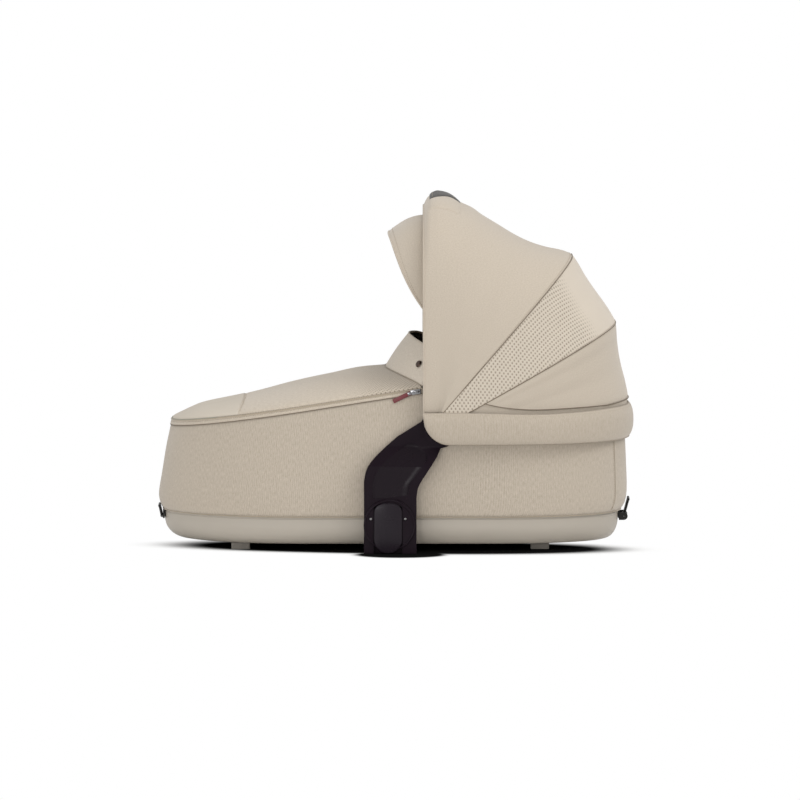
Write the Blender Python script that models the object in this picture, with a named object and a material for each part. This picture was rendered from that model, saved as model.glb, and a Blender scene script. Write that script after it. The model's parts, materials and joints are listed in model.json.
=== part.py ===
"""A pram carrycot: moulded tray, fabric walls on a rim tube, side arms with chassis sockets, and a folding hood.

Lengths are in metres. The foot end is at -X, the head end at +X, and the cot stands on Z = 0.
"""

import math

import bmesh
import bpy
from mathutils import Matrix, Vector

# Clearances
GAP = 0.0003
OVERRUN = 0.004
SIDES = {"left": -1, "right": 1}

# Plan of the cot
STRAIGHT_HALF = 0.150
ARC_STEPS = 14
SIDE_STEPS = 6

# Tray
TRAY_FOOT_X = -0.398
TRAY_HEAD_X = 0.386
TRAY_HALF_WIDTH = 0.185
TRAY_BOTTOM = 0.0113
TRAY_TOP = 0.060
TRAY_WALL = 0.003
TRAY_FILLET = 0.034
FILLET_STEPS = 6
TRAY_RIB_THICKNESS = 0.0025
TRAY_RIB_PITCH = 0.13
TRAY_RIB_COUNT = 5

# Feet, board and mattress
FOOT_X = {"foot": -0.2655, "head": 0.250}
FOOT_Y = 0.105
FOOT_LENGTH = 0.032
FOOT_WIDTH = 0.046
FOOT_BEVEL = 0.003
BOARD_Z = 0.050
BOARD_THICKNESS = 0.003
MATTRESS_THICKNESS = 0.029
MATTRESS_CROWN = 0.005
MATTRESS_EDGE = 0.009
MATTRESS_CLEAR = 0.003

# Wall and rim
WALL_FOOT_X = -0.409
WALL_HEAD_X = 0.403
WALL_OVERHANG = 0.007
WALL_HALF_WIDTH = TRAY_HALF_WIDTH + WALL_OVERHANG
WALL_SKIN = 0.004
WALL_LEAN = 0.021
RIM_AT_HUB = 0.2746
RIM_PEAK_X = 0.048
RIM_SLOPE = 0.157
RIM_EASE = 0.092
RIM_HEAD = 0.240
RIM_TUBE_RADIUS = 0.0055
RIM_TUBE_DROP = 0.011
LINER_THICKNESS = 0.003
LINER_DROP = 0.003

# Height share, then how much of the lean each part of the wall has: foot end, head end, sides
WALL_LEAN_SHARES = (
    (0.00, 0.36, 0.52, 0.17),
    (0.06, 0.14, 0.20, 0.08),
    (0.18, 0.00, 0.02, 0.00),
    (0.45, 0.28, 0.08, 0.00),
    (0.75, 0.62, 0.20, 0.00),
    (1.00, 1.00, 0.33, 0.00),
)

# Zip band
ZIP_FOOT_HEIGHT = 0.0090
ZIP_HUB_HEIGHT = 0.0078
ZIP_THICKNESS = 0.003
ZIP_LEAN = 0.0015
SLIDER_X = 0.036
SLIDER_LENGTH = 0.018
SLIDER_HEIGHT = 0.009
SLIDER_THICKNESS = 0.004
PULLER_LENGTH = 0.032
PULLER_HEIGHT = 0.011
PULLER_THICKNESS = 0.0025
PULLER_RADIUS = 0.004

# Apron
APRON_THICKNESS = 0.005
APRON_FRONT_X = -0.385
APRON_SET_IN = 0.0025
APRON_HALF_WIDTH = WALL_HALF_WIDTH - APRON_SET_IN
APRON_REAR_X = -0.010
APRON_REAR_SWEEP = 0.0575
APRON_RISE = 0.0285
APRON_FULLNESS = 2.4
APRON_ACROSS = 14
APRON_STRAIGHT_STEPS = 6
APRON_FIRST_ANGLE = 10
# Place along the apron, as a share of its length from the foot, and the crown as a share of its rise
APRON_RISE_SHARES = (
    (0.00, 0.00),
    (0.06, 0.30),
    (0.12, 0.50),
    (0.34, 0.55),
    (0.52, 0.78),
    (0.68, 0.98),
    (0.85, 1.00),
    (1.00, 0.88),
)
TOE_SEAM_X = -0.261
TOE_THICKNESS = 0.0012

# Wind flap
FLAP_HEIGHT = 0.071
FLAP_LEAN = math.radians(34)
FLAP_THICKNESS = 0.003
FLAP_LINING = 0.0015
FLAP_REACH_SHARE = 0.96
FLAP_SIDE_SHARE = 0.85
FLAP_SET_IN = 0.006
SNAP_RADIUS = 0.0065
SNAP_HEIGHT = 0.0022

# Hub and the stack of eyes on its pin, each as a distance from the middle plane
HUB_X = 0.076
HUB_Z = 0.213
ARM_PLATE = 0.008
BOW_THICKNESS = 0.008
RIB_THICKNESS = 0.003
ARM_INNER_Y = WALL_HALF_WIDTH + GAP
ARM_PLATE_Y = ARM_INNER_Y + ARM_PLATE
BOW_INNER_Y = ARM_PLATE_Y + GAP
BOW_OUTER_Y = BOW_INNER_Y + BOW_THICKNESS
MIDDLE_INNER_Y = BOW_OUTER_Y + 2 * GAP
MIDDLE_OUTER_Y = MIDDLE_INNER_Y + RIB_THICKNESS
REAR_INNER_Y = MIDDLE_OUTER_Y + 2 * GAP
REAR_OUTER_Y = REAR_INNER_Y + RIB_THICKNESS
HUB_PIN_RADIUS = 0.005
HUB_HEAD_RADIUS = 0.012
HUB_HEAD = 0.0015
HUB_RADIUS = 0.0274
RIB_EYE_RADIUS = 0.020
EYE_INSET = 0.0003

# Hood
HEM_Z = 0.2455
HOOD_RADIUS = 0.3895
HOOD_FABRIC = 0.0027
HOOD_ACROSS = 22
BOW_WIDTH = 0.040
BOW_FOOT_WIDTH = 0.030
BOW_CENTRE_X = 0.0762
BOW_DEPTH = 0.010
BOW_CLEAR = 0.0018
BOW_SEAT_SHARE = 0.975
BOW_RADIUS = HOOD_RADIUS * BOW_SEAT_SHARE - HOOD_FABRIC - BOW_CLEAR
MIDDLE_ANGLE = 51.0
REAR_ANGLE = 29.0
RIB_WIDTH = 0.010
FABRIC_WIDE_ANGLE = 68.0
ARCH_EASE = 0.2
RIB_CLEAR = 0.0020
SEAM_GAP = 0.0004
# Angle in degrees, forward shift as a share of the bow's width, radius share, squareness of the arch
FRONT_PANEL_SHARES = (
    (90.0, -0.655, 0.950, 3.3),
    (90.0, -0.560, 0.972, 3.3),
    (90.0, -0.420, 0.991, 3.3),
    (90.0, -0.200, 0.998, 3.3),
    (90.0, 0.000, 1.000, 3.3),
    (87.5, 0.000, 0.992, 3.3),
    (84.2, 0.000, 0.967, 3.3),
    (81.0, 0.000, 0.950, 3.2),
    (78.0, 0.000, 0.926, 3.2),
    (73.7, 0.000, 0.905, 3.1),
    (68.3, 0.000, 0.887, 3.1),
    (63.0, 0.000, 0.885, 3.0),
    (58.2, 0.000, 0.900, 3.0),
    (53.8, 0.000, 0.929, 3.0),
    (MIDDLE_ANGLE, 0.000, 0.943, 3.0),
)
MESH_PANEL_SHARES = (
    (MIDDLE_ANGLE, 0.000, 0.943, 3.0),
    (48.0, 0.000, 0.927, 2.9),
    (44.5, 0.000, 0.912, 2.9),
    (40.0, 0.000, 0.901, 2.8),
    (35.8, 0.000, 0.900, 2.8),
    (REAR_ANGLE, 0.000, 0.899, 2.7),
)
REAR_PANEL_SHARES = (
    (REAR_ANGLE, 0.000, 0.899, 2.7),
    (26.5, 0.000, 0.880, 2.7),
    (24.0, 0.000, 0.865, 2.6),
    (20.0, 0.000, 0.852, 2.6),
    (16.0, 0.000, 0.845, 2.5),
    (12.5, 0.000, 0.845, 2.5),
    (10.0, 0.000, 0.846, 2.5),
    (8.3, 0.000, 0.847, 2.5),
    (7.0, 0.000, 0.848, 2.5),
)

# Handle: a pad on the fabric over the bow, with a dark strip on it where the hand lies
HANDLE_HEIGHT = 0.003
HANDLE_REACH = math.radians(17)
HANDLE_ROWS = slice(2, 7)
HANDLE_HEIGHT_SHARES = (0.35, 0.85, 1.00, 0.90, 0.40)
GRIP_THICKNESS = 0.0035
GRIP_REACH = math.radians(12)
HANDLE_STEPS = 16
HANDLE_FULLNESS = 4
HANDLE_EDGE_SHARE = 0.3

# Visor
VISOR_REACH = 0.0665
VISOR_DROOP = 0.028
VISOR_THICKNESS = 0.0025
VISOR_ARC = math.radians(42)
VISOR_DROP = 0.0223
VISOR_ROOT_DROP = 0.004
VISOR_ROOT_SHARE = 0.08
VISOR_WIRE_RADIUS = 0.0018
VISOR_ACROSS = 20
VISOR_EDGE_GAP = 0.0005
VISOR_WIRE_AHEAD = 0.0028
VISOR_FULLNESS = 2.6
VISOR_DROOP_POWER = 1.5

# Padded band round the head end
BAND_FRONT_X = 0.048
BAND_HEAD_X = 0.409
BAND_INNER_Y = REAR_OUTER_Y + GAP + HUB_HEAD + GAP
BAND_THICKNESS = 0.007
BAND_LOW = 0.187
BAND_HIGH = 0.2445
BAND_CORNER_X = 0.047
BAND_CORNER_Z = 0.050
BAND_END_CLEAR = 0.002
BAND_STEPS = 10
BAND_SPACING = 1.6

# Side arm
ARM_LEFT_X = -0.0529
ARM_WIDTH = 0.0903
ARM_PROUD = 0.0245
ARM_FACE_Y = WALL_HALF_WIDTH + ARM_PROUD
ARM_SLOPE_LOW = 0.150
ARM_SLOPE_HIGH = 0.183
ARM_HUB_RADIUS = 0.033
ARM_BLOCK_DEPTH = 0.007
ARM_BLOCK_INNER_Y = TRAY_HALF_WIDTH - ARM_BLOCK_DEPTH
ARM_BLOCK_TOP = 0.0595
ARM_BLOCK_MARGIN = 0.003
ARM_RECESS = 0.001
ARM_LEVELS = 8
ARM_HEAD_START = 157
ARM_HEAD_SWEEP = 242
ARM_HEAD_STEPS = 12
# Shares of the arm's width from its foot-side edge, and of the hub's height
ARM_FOOT_SIDE_SHARES = ((0.0, 0.582), (0.064, 0.690), (0.266, 0.798), (0.632, 0.939))
ARM_HEAD_SIDE_SHARES = ((1.384, 0.775), (1.182, 0.643), (1.036, 0.540), (1.0, 0.455))
ARM_PANEL_SHARES = (
    (0.165, 0.445),
    (0.165, 0.573),
    (0.300, 0.700),
    (0.560, 0.800),
    (0.830, 0.880),
    (0.985, 0.872),
    (1.190, 0.800),
    (1.170, 0.742),
    (0.985, 0.629),
    (0.852, 0.549),
    (0.820, 0.472),
)
SOCKET_LENGTH = 0.034
SOCKET_DEPTH = 0.013
SOCKET_HEIGHT = 0.045
SOCKET_SET_IN = 0.006
SOCKET_INNER_Y = ARM_BLOCK_INNER_Y + SOCKET_SET_IN

# Adaptor disc, release button, its spring and the screws
DISC_X = -0.009
DISC_Z = 0.049
DISC_RADIUS = 0.0446
DISC_THICKNESS = 0.0022
DISC_RING = 0.0013
DISC_RING_WIDTH = 0.004
BUTTON_X = -0.0115
BUTTON_WIDTH = 0.048
BUTTON_LOW = 0.0012
BUTTON_HIGH = 0.087
BUTTON_SHOULDER = 0.080
BUTTON_THICKNESS = 0.009
BUTTON_PROUD = 0.003
BUTTON_TRAVEL = 0.004
BUTTON_CLEAR = 0.0005
BUTTON_BEVEL = 0.0012
BUTTON_STEPS = 12
SPRING_Z = 0.066
SPRING_HOLE_RADIUS = 0.005
SPRING_HOLE_DEPTH = 0.006
SPRING_RADIUS = 0.0036
SPRING_WIRE = 0.0005
SPRING_TURNS = 4
SPRING_POINTS = 8
SCREW_SPREAD = 0.0295
SCREW_Z = 0.060
SCREW_PLACES = ((BUTTON_X - SCREW_SPREAD, SCREW_Z), (BUTTON_X + SCREW_SPREAD, SCREW_Z))
SCREW_RADIUS = 0.0018
SCREW_HEAD_RADIUS = 0.0032
SCREW_HEAD = 0.0018
SCREW_LENGTH = 0.010

# End catches
CATCH_WIDTH = 0.052
CATCH_BRACKET = 0.0028
CATCH_LOW = 0.044
CATCH_FOOT_TOP = 0.066
CATCH_HEAD_TOP = 0.080
CATCH_FOOT_WALL = 0.4048
CATCH_HEAD_WALL = 0.4030
CATCH_LEVER = 0.0034
CATCH_PIN_RADIUS = 0.0007
CATCH_PIN_Z = 0.0475
CATCH_EAR = 0.006


def clear_scene():
    """Removes whatever the scene holds before anything is made."""
    for thing in list(bpy.data.objects):
        bpy.data.objects.remove(thing, do_unlink=True)


def finish(name, colour, roughness, metallic=0.0):
    """A Principled material in one plain colour."""
    made = bpy.data.materials.new(name)
    made.use_nodes = True
    shader = made.node_tree.nodes["Principled BSDF"]
    shader.inputs["Base Color"].default_value = (*colour, 1.0)
    shader.inputs["Roughness"].default_value = roughness
    shader.inputs["Metallic"].default_value = metallic
    made.diffuse_color = (*colour, 1.0)
    return made


def finishes():
    """Every finish of the cot, by the word that the pieces use."""
    return {
        "shell": finish("moulded_shell", (0.40, 0.35, 0.29), 0.55),
        "wall": finish("wall_fabric", (0.50, 0.43, 0.35), 0.9),
        "apron": finish("apron_fabric", (0.56, 0.49, 0.41), 0.9),
        "hood": finish("hood_fabric", (0.58, 0.50, 0.42), 0.85),
        "knit": finish("knitted_mesh", (0.55, 0.47, 0.39), 0.9),
        "lining": finish("black_lining", (0.012, 0.012, 0.013), 0.8),
        "patch": finish("leather_look", (0.56, 0.48, 0.40), 0.5),
        "arm": finish("dark_moulding", (0.017, 0.012, 0.019), 0.35),
        "metal": finish("zinc", (0.62, 0.62, 0.60), 0.3, 1.0),
        "bronze": finish("dark_bronze", (0.10, 0.08, 0.07), 0.35, 1.0),
        "puller": finish("burgundy_leather", (0.09, 0.03, 0.03), 0.5),
        "rubber": finish("rubber", (0.02, 0.02, 0.02), 0.8),
        "catch": finish("black_moulding", (0.02, 0.018, 0.016), 0.45),
        "board": finish("board", (0.30, 0.26, 0.20), 0.8),
        "cotton": finish("mattress_cotton", (0.75, 0.72, 0.66), 0.95),
        "grip": finish("grip_leather", (0.07, 0.065, 0.062), 0.5),
    }


def add_piece(name, shape, material, smooth_angle=math.radians(32)):
    """Turns a bmesh into a named object with its faces pointing out."""
    bmesh.ops.recalc_face_normals(shape, faces=shape.faces)
    mesh = bpy.data.meshes.new(name)
    shape.to_mesh(mesh)
    shape.free()
    mesh.shade_smooth()
    mesh.set_sharp_from_angle(angle=smooth_angle)
    piece = bpy.data.objects.new(name, mesh)
    piece.data.materials.append(material)
    bpy.context.scene.collection.objects.link(piece)
    return piece


def add_tube(name, points, radius, material, cyclic=False, resolution=2):
    """A round tube along a row of points."""
    curve = bpy.data.curves.new(name, "CURVE")
    curve.dimensions = "3D"
    curve.bevel_depth = radius
    curve.bevel_resolution = resolution
    curve.use_fill_caps = not cyclic
    spline = curve.splines.new("POLY")
    spline.points.add(len(points) - 1)
    for place, point in zip(spline.points, points):
        place.co = (*point, 1.0)
    spline.use_cyclic_u = cyclic
    tube = bpy.data.objects.new(name, curve)
    tube.data.materials.append(material)
    bpy.context.scene.collection.objects.link(tube)
    return tube


def hidden(name, shape):
    """A guide or cutter that no render shows."""
    bmesh.ops.recalc_face_normals(shape, faces=shape.faces)
    mesh = bpy.data.meshes.new(name)
    shape.to_mesh(mesh)
    shape.free()
    guide = bpy.data.objects.new(name, mesh)
    guide.hide_render = True
    guide.display_type = "WIRE"
    bpy.context.scene.collection.objects.link(guide)
    return guide


def combine(piece, tool, operation):
    """Adds a Boolean to a piece: DIFFERENCE, UNION or INTERSECT."""
    step = piece.modifiers.new(tool.name, "BOOLEAN")
    step.operation = operation
    step.solver = "EXACT"
    step.object = tool


def pivot(name, place):
    """An empty on a joint's axis."""
    empty = bpy.data.objects.new(name, None)
    empty.location = place
    bpy.context.scene.collection.objects.link(empty)
    return empty


def carry(empty, *pieces):
    """Parents pieces to an empty and leaves them where they are."""
    for piece in pieces:
        piece.parent = empty
        piece.matrix_parent_inverse = Matrix.Translation(empty.location).inverted()


def loft(rings):
    """Closed rings of points joined in turn, with a face across each end."""
    shape = bmesh.new()
    rows = [[shape.verts.new(point) for point in ring] for ring in rings]
    for low, high in zip(rows, rows[1:]):
        for start in range(len(low)):
            end = (start + 1) % len(low)
            shape.faces.new((low[start], low[end], high[end], high[start]))
    shape.faces.new(rows[0])
    shape.faces.new(rows[-1])
    return shape


def shell(outer, inner, closed=False):
    """A wall between two grids of points: closed rows go right round, open ones have an edge at each end."""
    shape = bmesh.new()
    outside = [[shape.verts.new(point) for point in row] for row in outer]
    inside = [[shape.verts.new(point) for point in row] for row in inner]
    columns = len(outer[0])
    for grid in (outside, inside):
        for low, high in zip(grid, grid[1:]):
            for start in range(columns if closed else columns - 1):
                end = (start + 1) % columns
                shape.faces.new((low[start], low[end], high[end], high[start]))
    for out_row, in_row in ((outside[0], inside[0]), (outside[-1], inside[-1])):
        for start in range(columns if closed else columns - 1):
            end = (start + 1) % columns
            shape.faces.new((out_row[start], out_row[end], in_row[end], in_row[start]))
    if not closed:
        for edge in (0, -1):
            for low in range(len(outer) - 1):
                corners = (outside[low][edge], outside[low + 1][edge], inside[low + 1][edge], inside[low][edge])
                shape.faces.new(corners)
    return shape


def box(low, high):
    """A box between two corners."""
    shape = bmesh.new()
    middle = (Vector(low) + Vector(high)) / 2
    size = Vector(high) - Vector(low)
    bmesh.ops.create_cube(shape, size=1.0, matrix=Matrix.Translation(middle) @ Matrix.Diagonal((*size, 1.0)))
    return shape


def side_box(side, low, high):
    """A box given on the +Y side, set on the asked side."""
    ends = sorted((side * low[1], side * high[1]))
    return box((low[0], ends[0], low[2]), (high[0], ends[1], high[2]))


def cylinder(side, x, z, radius, low_y, high_y, segments=24):
    """A round bar along Y, given on the +Y side."""
    shape = bmesh.new()
    turn = Matrix.Rotation(math.radians(90), 4, "X")
    place = Matrix.Translation((x, side * (low_y + high_y) / 2, z))
    bmesh.ops.create_cone(
        shape,
        cap_ends=True,
        segments=segments,
        radius1=radius,
        radius2=radius,
        depth=high_y - low_y,
        matrix=place @ turn,
    )
    return shape


def add_shape(shape, other):
    """Adds the faces of one bmesh to another, as a separate body."""
    mesh = bpy.data.meshes.new("joined")
    other.to_mesh(mesh)
    other.free()
    shape.from_mesh(mesh)
    bpy.data.meshes.remove(mesh)


def rounded(shape, width, segments=2):
    """Rounds every sharp edge of a bmesh."""
    sharp = [edge for edge in shape.edges if edge.calc_face_angle(0.0) > math.radians(40)]
    bmesh.ops.bevel(
        shape,
        geom=sharp,
        offset=width,
        segments=segments,
        profile=0.5,
        affect="EDGES",
        clamp_overlap=True,
        material=-1,
    )
    return shape


def between(table, place, column):
    """Reads a table of shares at a place, straight between its rows."""
    for row, following in zip(table, table[1:]):
        if place <= following[0]:
            part = max(0.0, (place - row[0]) / (following[0] - row[0]))
            return row[column] + part * (following[column] - row[column])
    return table[-1][column]


def eased(part):
    """Smooth step from 0 to 1."""
    part = min(1.0, max(0.0, part))
    return part * part * (3 - 2 * part)


def curved(points, steps=3):
    """A smooth curve through points, ends kept."""
    made = []
    for number in range(len(points) - 1):
        before = points[max(0, number - 1)]
        start, end = points[number], points[number + 1]
        after = points[min(len(points) - 1, number + 2)]
        for step in range(steps):
            t = step / steps
            made.append(
                tuple(
                    0.5 * (2 * b + (c - a) * t + (2 * a - 5 * b + 4 * c - d) * t**2 + (3 * b - a - 3 * c + d) * t**3)
                    for a, b, c, d in zip(before, start, end, after)
                )
            )
    made.append(tuple(points[-1]))
    return made


def rim_height(x):
    """Height of the wall's top edge: it climbs towards the hub, then eases down under the hood."""
    peak = RIM_AT_HUB
    if x <= RIM_PEAK_X:
        return peak + RIM_SLOPE * (x - RIM_PEAK_X)
    return peak + (RIM_HEAD - peak) * eased((x - RIM_PEAK_X) / RIM_EASE)


def zip_height(x):
    """Height of the zip band: taller at the foot end."""
    part = (x - APRON_FRONT_X) / (RIM_PEAK_X - APRON_FRONT_X)
    return ZIP_FOOT_HEIGHT + (ZIP_HUB_HEIGHT - ZIP_FOOT_HEIGHT) * min(1.0, max(0.0, part))


def end_arc(end_x, half_width, start, finish_angle, steps):
    """Points of one rounded end, between two angles in degrees."""
    sign = 1 if end_x > 0 else -1
    reach = abs(end_x) - STRAIGHT_HALF
    points = []
    for step in range(steps + 1):
        angle = math.radians(start + (finish_angle - start) * step / steps)
        points.append((sign * (STRAIGHT_HALF + reach * math.cos(angle)), half_width * math.sin(angle)))
    return points


def plan(foot_x, head_x, half_width):
    """The cot's outline seen from above: straight sides and elliptical ends."""
    points = end_arc(head_x, half_width, -90, 90, ARC_STEPS)
    for step in range(1, SIDE_STEPS):
        points.append((STRAIGHT_HALF - 2 * STRAIGHT_HALF * step / SIDE_STEPS, half_width))
    points += end_arc(foot_x, half_width, 90, -90, ARC_STEPS)
    for step in range(1, SIDE_STEPS):
        points.append((-STRAIGHT_HALF + 2 * STRAIGHT_HALF * step / SIDE_STEPS, -half_width))
    return points


def flat_ring(inset, z):
    """The tray's outline, drawn in by an inset, at one height."""
    return [(x, y, z) for x, y in plan(TRAY_FOOT_X + inset, TRAY_HEAD_X - inset, TRAY_HALF_WIDTH - inset)]


def tray_rings(inset, top):
    """Rings of the tray's outside, from the flat bottom up its rounded edge, drawn in by an inset."""
    rings = []
    for step in range(FILLET_STEPS + 1):
        angle = math.radians(90) * step / FILLET_STEPS
        side = TRAY_FILLET - (TRAY_FILLET - inset) * math.sin(angle)
        z = TRAY_BOTTOM + TRAY_FILLET - (TRAY_FILLET - inset) * math.cos(angle)
        rings.append(flat_ring(side, z))
    rings.append(flat_ring(inset, top))
    return rings


def arm_bottom():
    """Foot-side and head-side limits of the arm's inner block."""
    return ARM_LEFT_X + ARM_BLOCK_MARGIN, ARM_LEFT_X + ARM_WIDTH - ARM_BLOCK_MARGIN


def make_tray(look):
    """Moulded tray with cross ribs under the board and a walled notch beside each arm."""
    rings = tray_rings(0.0, TRAY_TOP) + tray_rings(TRAY_WALL, TRAY_TOP)[::-1]
    tray = add_piece("base_tray", loft(rings), look["shell"])
    blank = hidden("tray_blank", loft(tray_rings(TRAY_WALL / 4, TRAY_TOP)))
    ribs = bmesh.new()
    for number in range(TRAY_RIB_COUNT):
        x = (number - (TRAY_RIB_COUNT - 1) / 2) * TRAY_RIB_PITCH + TRAY_RIB_THICKNESS
        low = (x - TRAY_RIB_THICKNESS / 2, -TRAY_HALF_WIDTH, TRAY_BOTTOM + TRAY_WALL / 2)
        high = (x + TRAY_RIB_THICKNESS / 2, TRAY_HALF_WIDTH, BOARD_Z - GAP)
        add_shape(ribs, box(low, high))
    rib_guide = hidden("tray_ribs", ribs)
    combine(rib_guide, blank, "INTERSECT")
    combine(tray, rib_guide, "UNION")
    start, end = arm_bottom()
    for word, side in SIDES.items():
        clear = 2 * GAP
        low = (start - clear - TRAY_WALL, ARM_BLOCK_INNER_Y - clear - TRAY_WALL, TRAY_BOTTOM + TRAY_WALL / 2)
        high = (end + clear + TRAY_WALL, TRAY_HALF_WIDTH, BOARD_Z - GAP)
        boss = hidden(f"notch_wall_{word}", side_box(side, low, high))
        combine(boss, blank, "INTERSECT")
        combine(tray, boss, "UNION")
        low = (start - clear, ARM_BLOCK_INNER_Y - clear, -OVERRUN)
        high = (end + clear, TRAY_HALF_WIDTH + OVERRUN, TRAY_TOP + OVERRUN)
        combine(tray, hidden(f"notch_{word}", side_box(side, low, high)), "DIFFERENCE")
    return tray


def make_feet(look):
    """Four rubber feet under the tray."""
    for place, x in FOOT_X.items():
        for word, side in SIDES.items():
            low = (x - FOOT_LENGTH / 2, side * FOOT_Y - FOOT_WIDTH / 2, 0.0)
            high = (x + FOOT_LENGTH / 2, side * FOOT_Y + FOOT_WIDTH / 2, TRAY_BOTTOM - GAP)
            foot = box(low, high)
            upright = [edge for edge in foot.edges if abs(edge.verts[0].co.z - edge.verts[1].co.z) > FOOT_BEVEL]
            bmesh.ops.bevel(
                foot, geom=upright, offset=FOOT_BEVEL, segments=3, profile=0.5, affect="EDGES", material=-1
            )
            add_piece(f"rubber_foot_{place}_{word}", foot, look["rubber"])


def make_board(look):
    """Board that lies on the tray's ribs."""
    inset = TRAY_WALL + 2 * GAP
    return add_piece(
        "base_board", loft([flat_ring(inset, BOARD_Z), flat_ring(inset, BOARD_Z + BOARD_THICKNESS)]), look["board"]
    )


def make_board_notches(board):
    """Room in the board for the tray's notch walls."""
    start, end = arm_bottom()
    for word, side in SIDES.items():
        low = (start - TRAY_WALL - OVERRUN, ARM_BLOCK_INNER_Y - TRAY_WALL - OVERRUN, BOARD_Z - OVERRUN)
        high = (end + TRAY_WALL + OVERRUN, TRAY_HALF_WIDTH + OVERRUN, BOARD_Z + BOARD_THICKNESS + OVERRUN)
        combine(board, hidden(f"board_notch_{word}", side_box(side, low, high)), "DIFFERENCE")


def wall_ring(share, inset):
    """One ring of the wall at a share of its height, drawn in by an inset."""
    foot = WALL_FOOT_X + WALL_LEAN * between(WALL_LEAN_SHARES, share, 1) + inset
    head = WALL_HEAD_X - WALL_LEAN * between(WALL_LEAN_SHARES, share, 2) - inset
    half = WALL_HALF_WIDTH - WALL_LEAN * between(WALL_LEAN_SHARES, share, 3) - inset
    low = TRAY_TOP + GAP
    return [(x, y, low + share * (rim_height(x) - low)) for x, y in plan(foot, head, half)]


def make_wall(look):
    """Outer fabric wall, from the tray's seam to the zip band."""
    shares = [row[0] for row in WALL_LEAN_SHARES]
    outer = [wall_ring(share, 0.0) for share in shares]
    inner = [wall_ring(share, WALL_SKIN) for share in shares]
    return add_piece("outer_wall", shell(outer, inner, closed=True), look["wall"])


def liner_plan(extra):
    """Outline of the liner's outside, drawn in by an extra inset."""
    inset = WALL_SKIN + 2 * RIM_TUBE_RADIUS + 2 * GAP + extra
    foot = WALL_FOOT_X + WALL_LEAN + inset
    head = WALL_HEAD_X - WALL_LEAN * WALL_LEAN_SHARES[-1][2] - inset
    return plan(foot, head, WALL_HALF_WIDTH - inset)


def make_liner(look):
    """Inner liner, standing on the board."""
    low = BOARD_Z + BOARD_THICKNESS + GAP
    rows = []
    for extra in (0.0, LINER_THICKNESS):
        outline = liner_plan(extra)
        bottom = [(x, y, low) for x, y in outline]
        top = [(x, y, rim_height(x) - LINER_DROP) for x, y in outline]
        rows.append([bottom, top])
    return add_piece("inner_liner", shell(rows[0], rows[1], closed=True), look["cotton"])


def make_rim_tube(look):
    """Metal tube between wall and liner that holds the rim up."""
    inset = WALL_SKIN + GAP + RIM_TUBE_RADIUS
    foot = WALL_FOOT_X + WALL_LEAN + inset
    head = WALL_HEAD_X - WALL_LEAN * WALL_LEAN_SHARES[-1][2] - inset
    points = [(x, y, rim_height(x) - RIM_TUBE_DROP) for x, y in plan(foot, head, WALL_HALF_WIDTH - inset)]
    return add_tube("rim_tube", points, RIM_TUBE_RADIUS, look["metal"], cyclic=True)


def make_mattress(look):
    """Crowned mattress with drawn-in sides and a welted edge."""
    low = BOARD_Z + BOARD_THICKNESS + GAP
    edge = MATTRESS_EDGE
    rings = []
    for inset_share, z_share in ((1.0, 0.0), (0.25, 0.08), (0.0, 0.28), (0.3, 0.5), (0.0, 0.72), (0.3, 0.93)):
        inset = LINER_THICKNESS + MATTRESS_CLEAR + edge * inset_share
        rings.append([(x, y, low + MATTRESS_THICKNESS * z_share) for x, y in liner_plan(inset)])
    for inset_share, crown_share in ((1.0, 0.0), (3.5, 0.35), (8.0, 0.8), (12.0, 1.0)):
        inset = LINER_THICKNESS + MATTRESS_CLEAR + edge * inset_share
        z = low + MATTRESS_THICKNESS + MATTRESS_CROWN * crown_share
        rings.append([(x, y, z) for x, y in liner_plan(inset)])
    return add_piece("mattress", loft(rings), look["cotton"])


def u_path(foot_x, half_width, end_x):
    """Open outline round the foot end, from one side to the other."""
    side = [end_x + (-STRAIGHT_HALF - end_x) * step / (2 * SIDE_STEPS) for step in range(2 * SIDE_STEPS)]
    points = [(x, -half_width) for x in side]
    points += end_arc(foot_x, half_width, -90, 90, ARC_STEPS)
    points += [(x, half_width) for x in reversed(side)]
    return points


def make_zip_tape(look):
    """Zip band on the wall's top edge."""
    foot = WALL_FOOT_X + WALL_LEAN
    rows = []
    for extra in (0.0, ZIP_THICKNESS):
        bottom = [(x, y, rim_height(x) + GAP) for x, y in u_path(foot + extra, WALL_HALF_WIDTH - extra, RIM_PEAK_X)]
        lean = extra + ZIP_LEAN
        top = [
            (x, y, rim_height(x) + zip_height(x)) for x, y in u_path(foot + lean, WALL_HALF_WIDTH - lean, RIM_PEAK_X)
        ]
        rows.append([bottom, top])
    return add_piece("zip_tape", shell(rows[0], rows[1]), look["wall"])


def apron_station(number):
    """(x, half width) of one cross row of the apron, from the foot."""
    reach = -APRON_FRONT_X - STRAIGHT_HALF
    if number <= ARC_STEPS:
        angle = math.radians(APRON_FIRST_ANGLE + (90 - APRON_FIRST_ANGLE) * number / ARC_STEPS)
        return -STRAIGHT_HALF - reach * math.cos(angle), APRON_HALF_WIDTH * math.sin(angle)
    part = (number - ARC_STEPS) / APRON_STRAIGHT_STEPS
    return -STRAIGHT_HALF + part * (APRON_REAR_X + STRAIGHT_HALF), APRON_HALF_WIDTH


def apron_point(number, across, lift):
    """A point on the apron: station, place from -1 to 1 across it, and height over its surface."""
    x, half = apron_station(number)
    length = APRON_REAR_X - APRON_FRONT_X
    crown = APRON_RISE * between(APRON_RISE_SHARES, (x - APRON_FRONT_X) / length, 1)
    part = max(0.0, (number - ARC_STEPS) / APRON_STRAIGHT_STEPS)
    x += APRON_REAR_SWEEP * part * across**2
    edge = rim_height(x) + zip_height(x) + GAP
    z = edge + APRON_THICKNESS + crown * (1 - abs(across) ** APRON_FULLNESS) + lift
    return x, half * across, z


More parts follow.
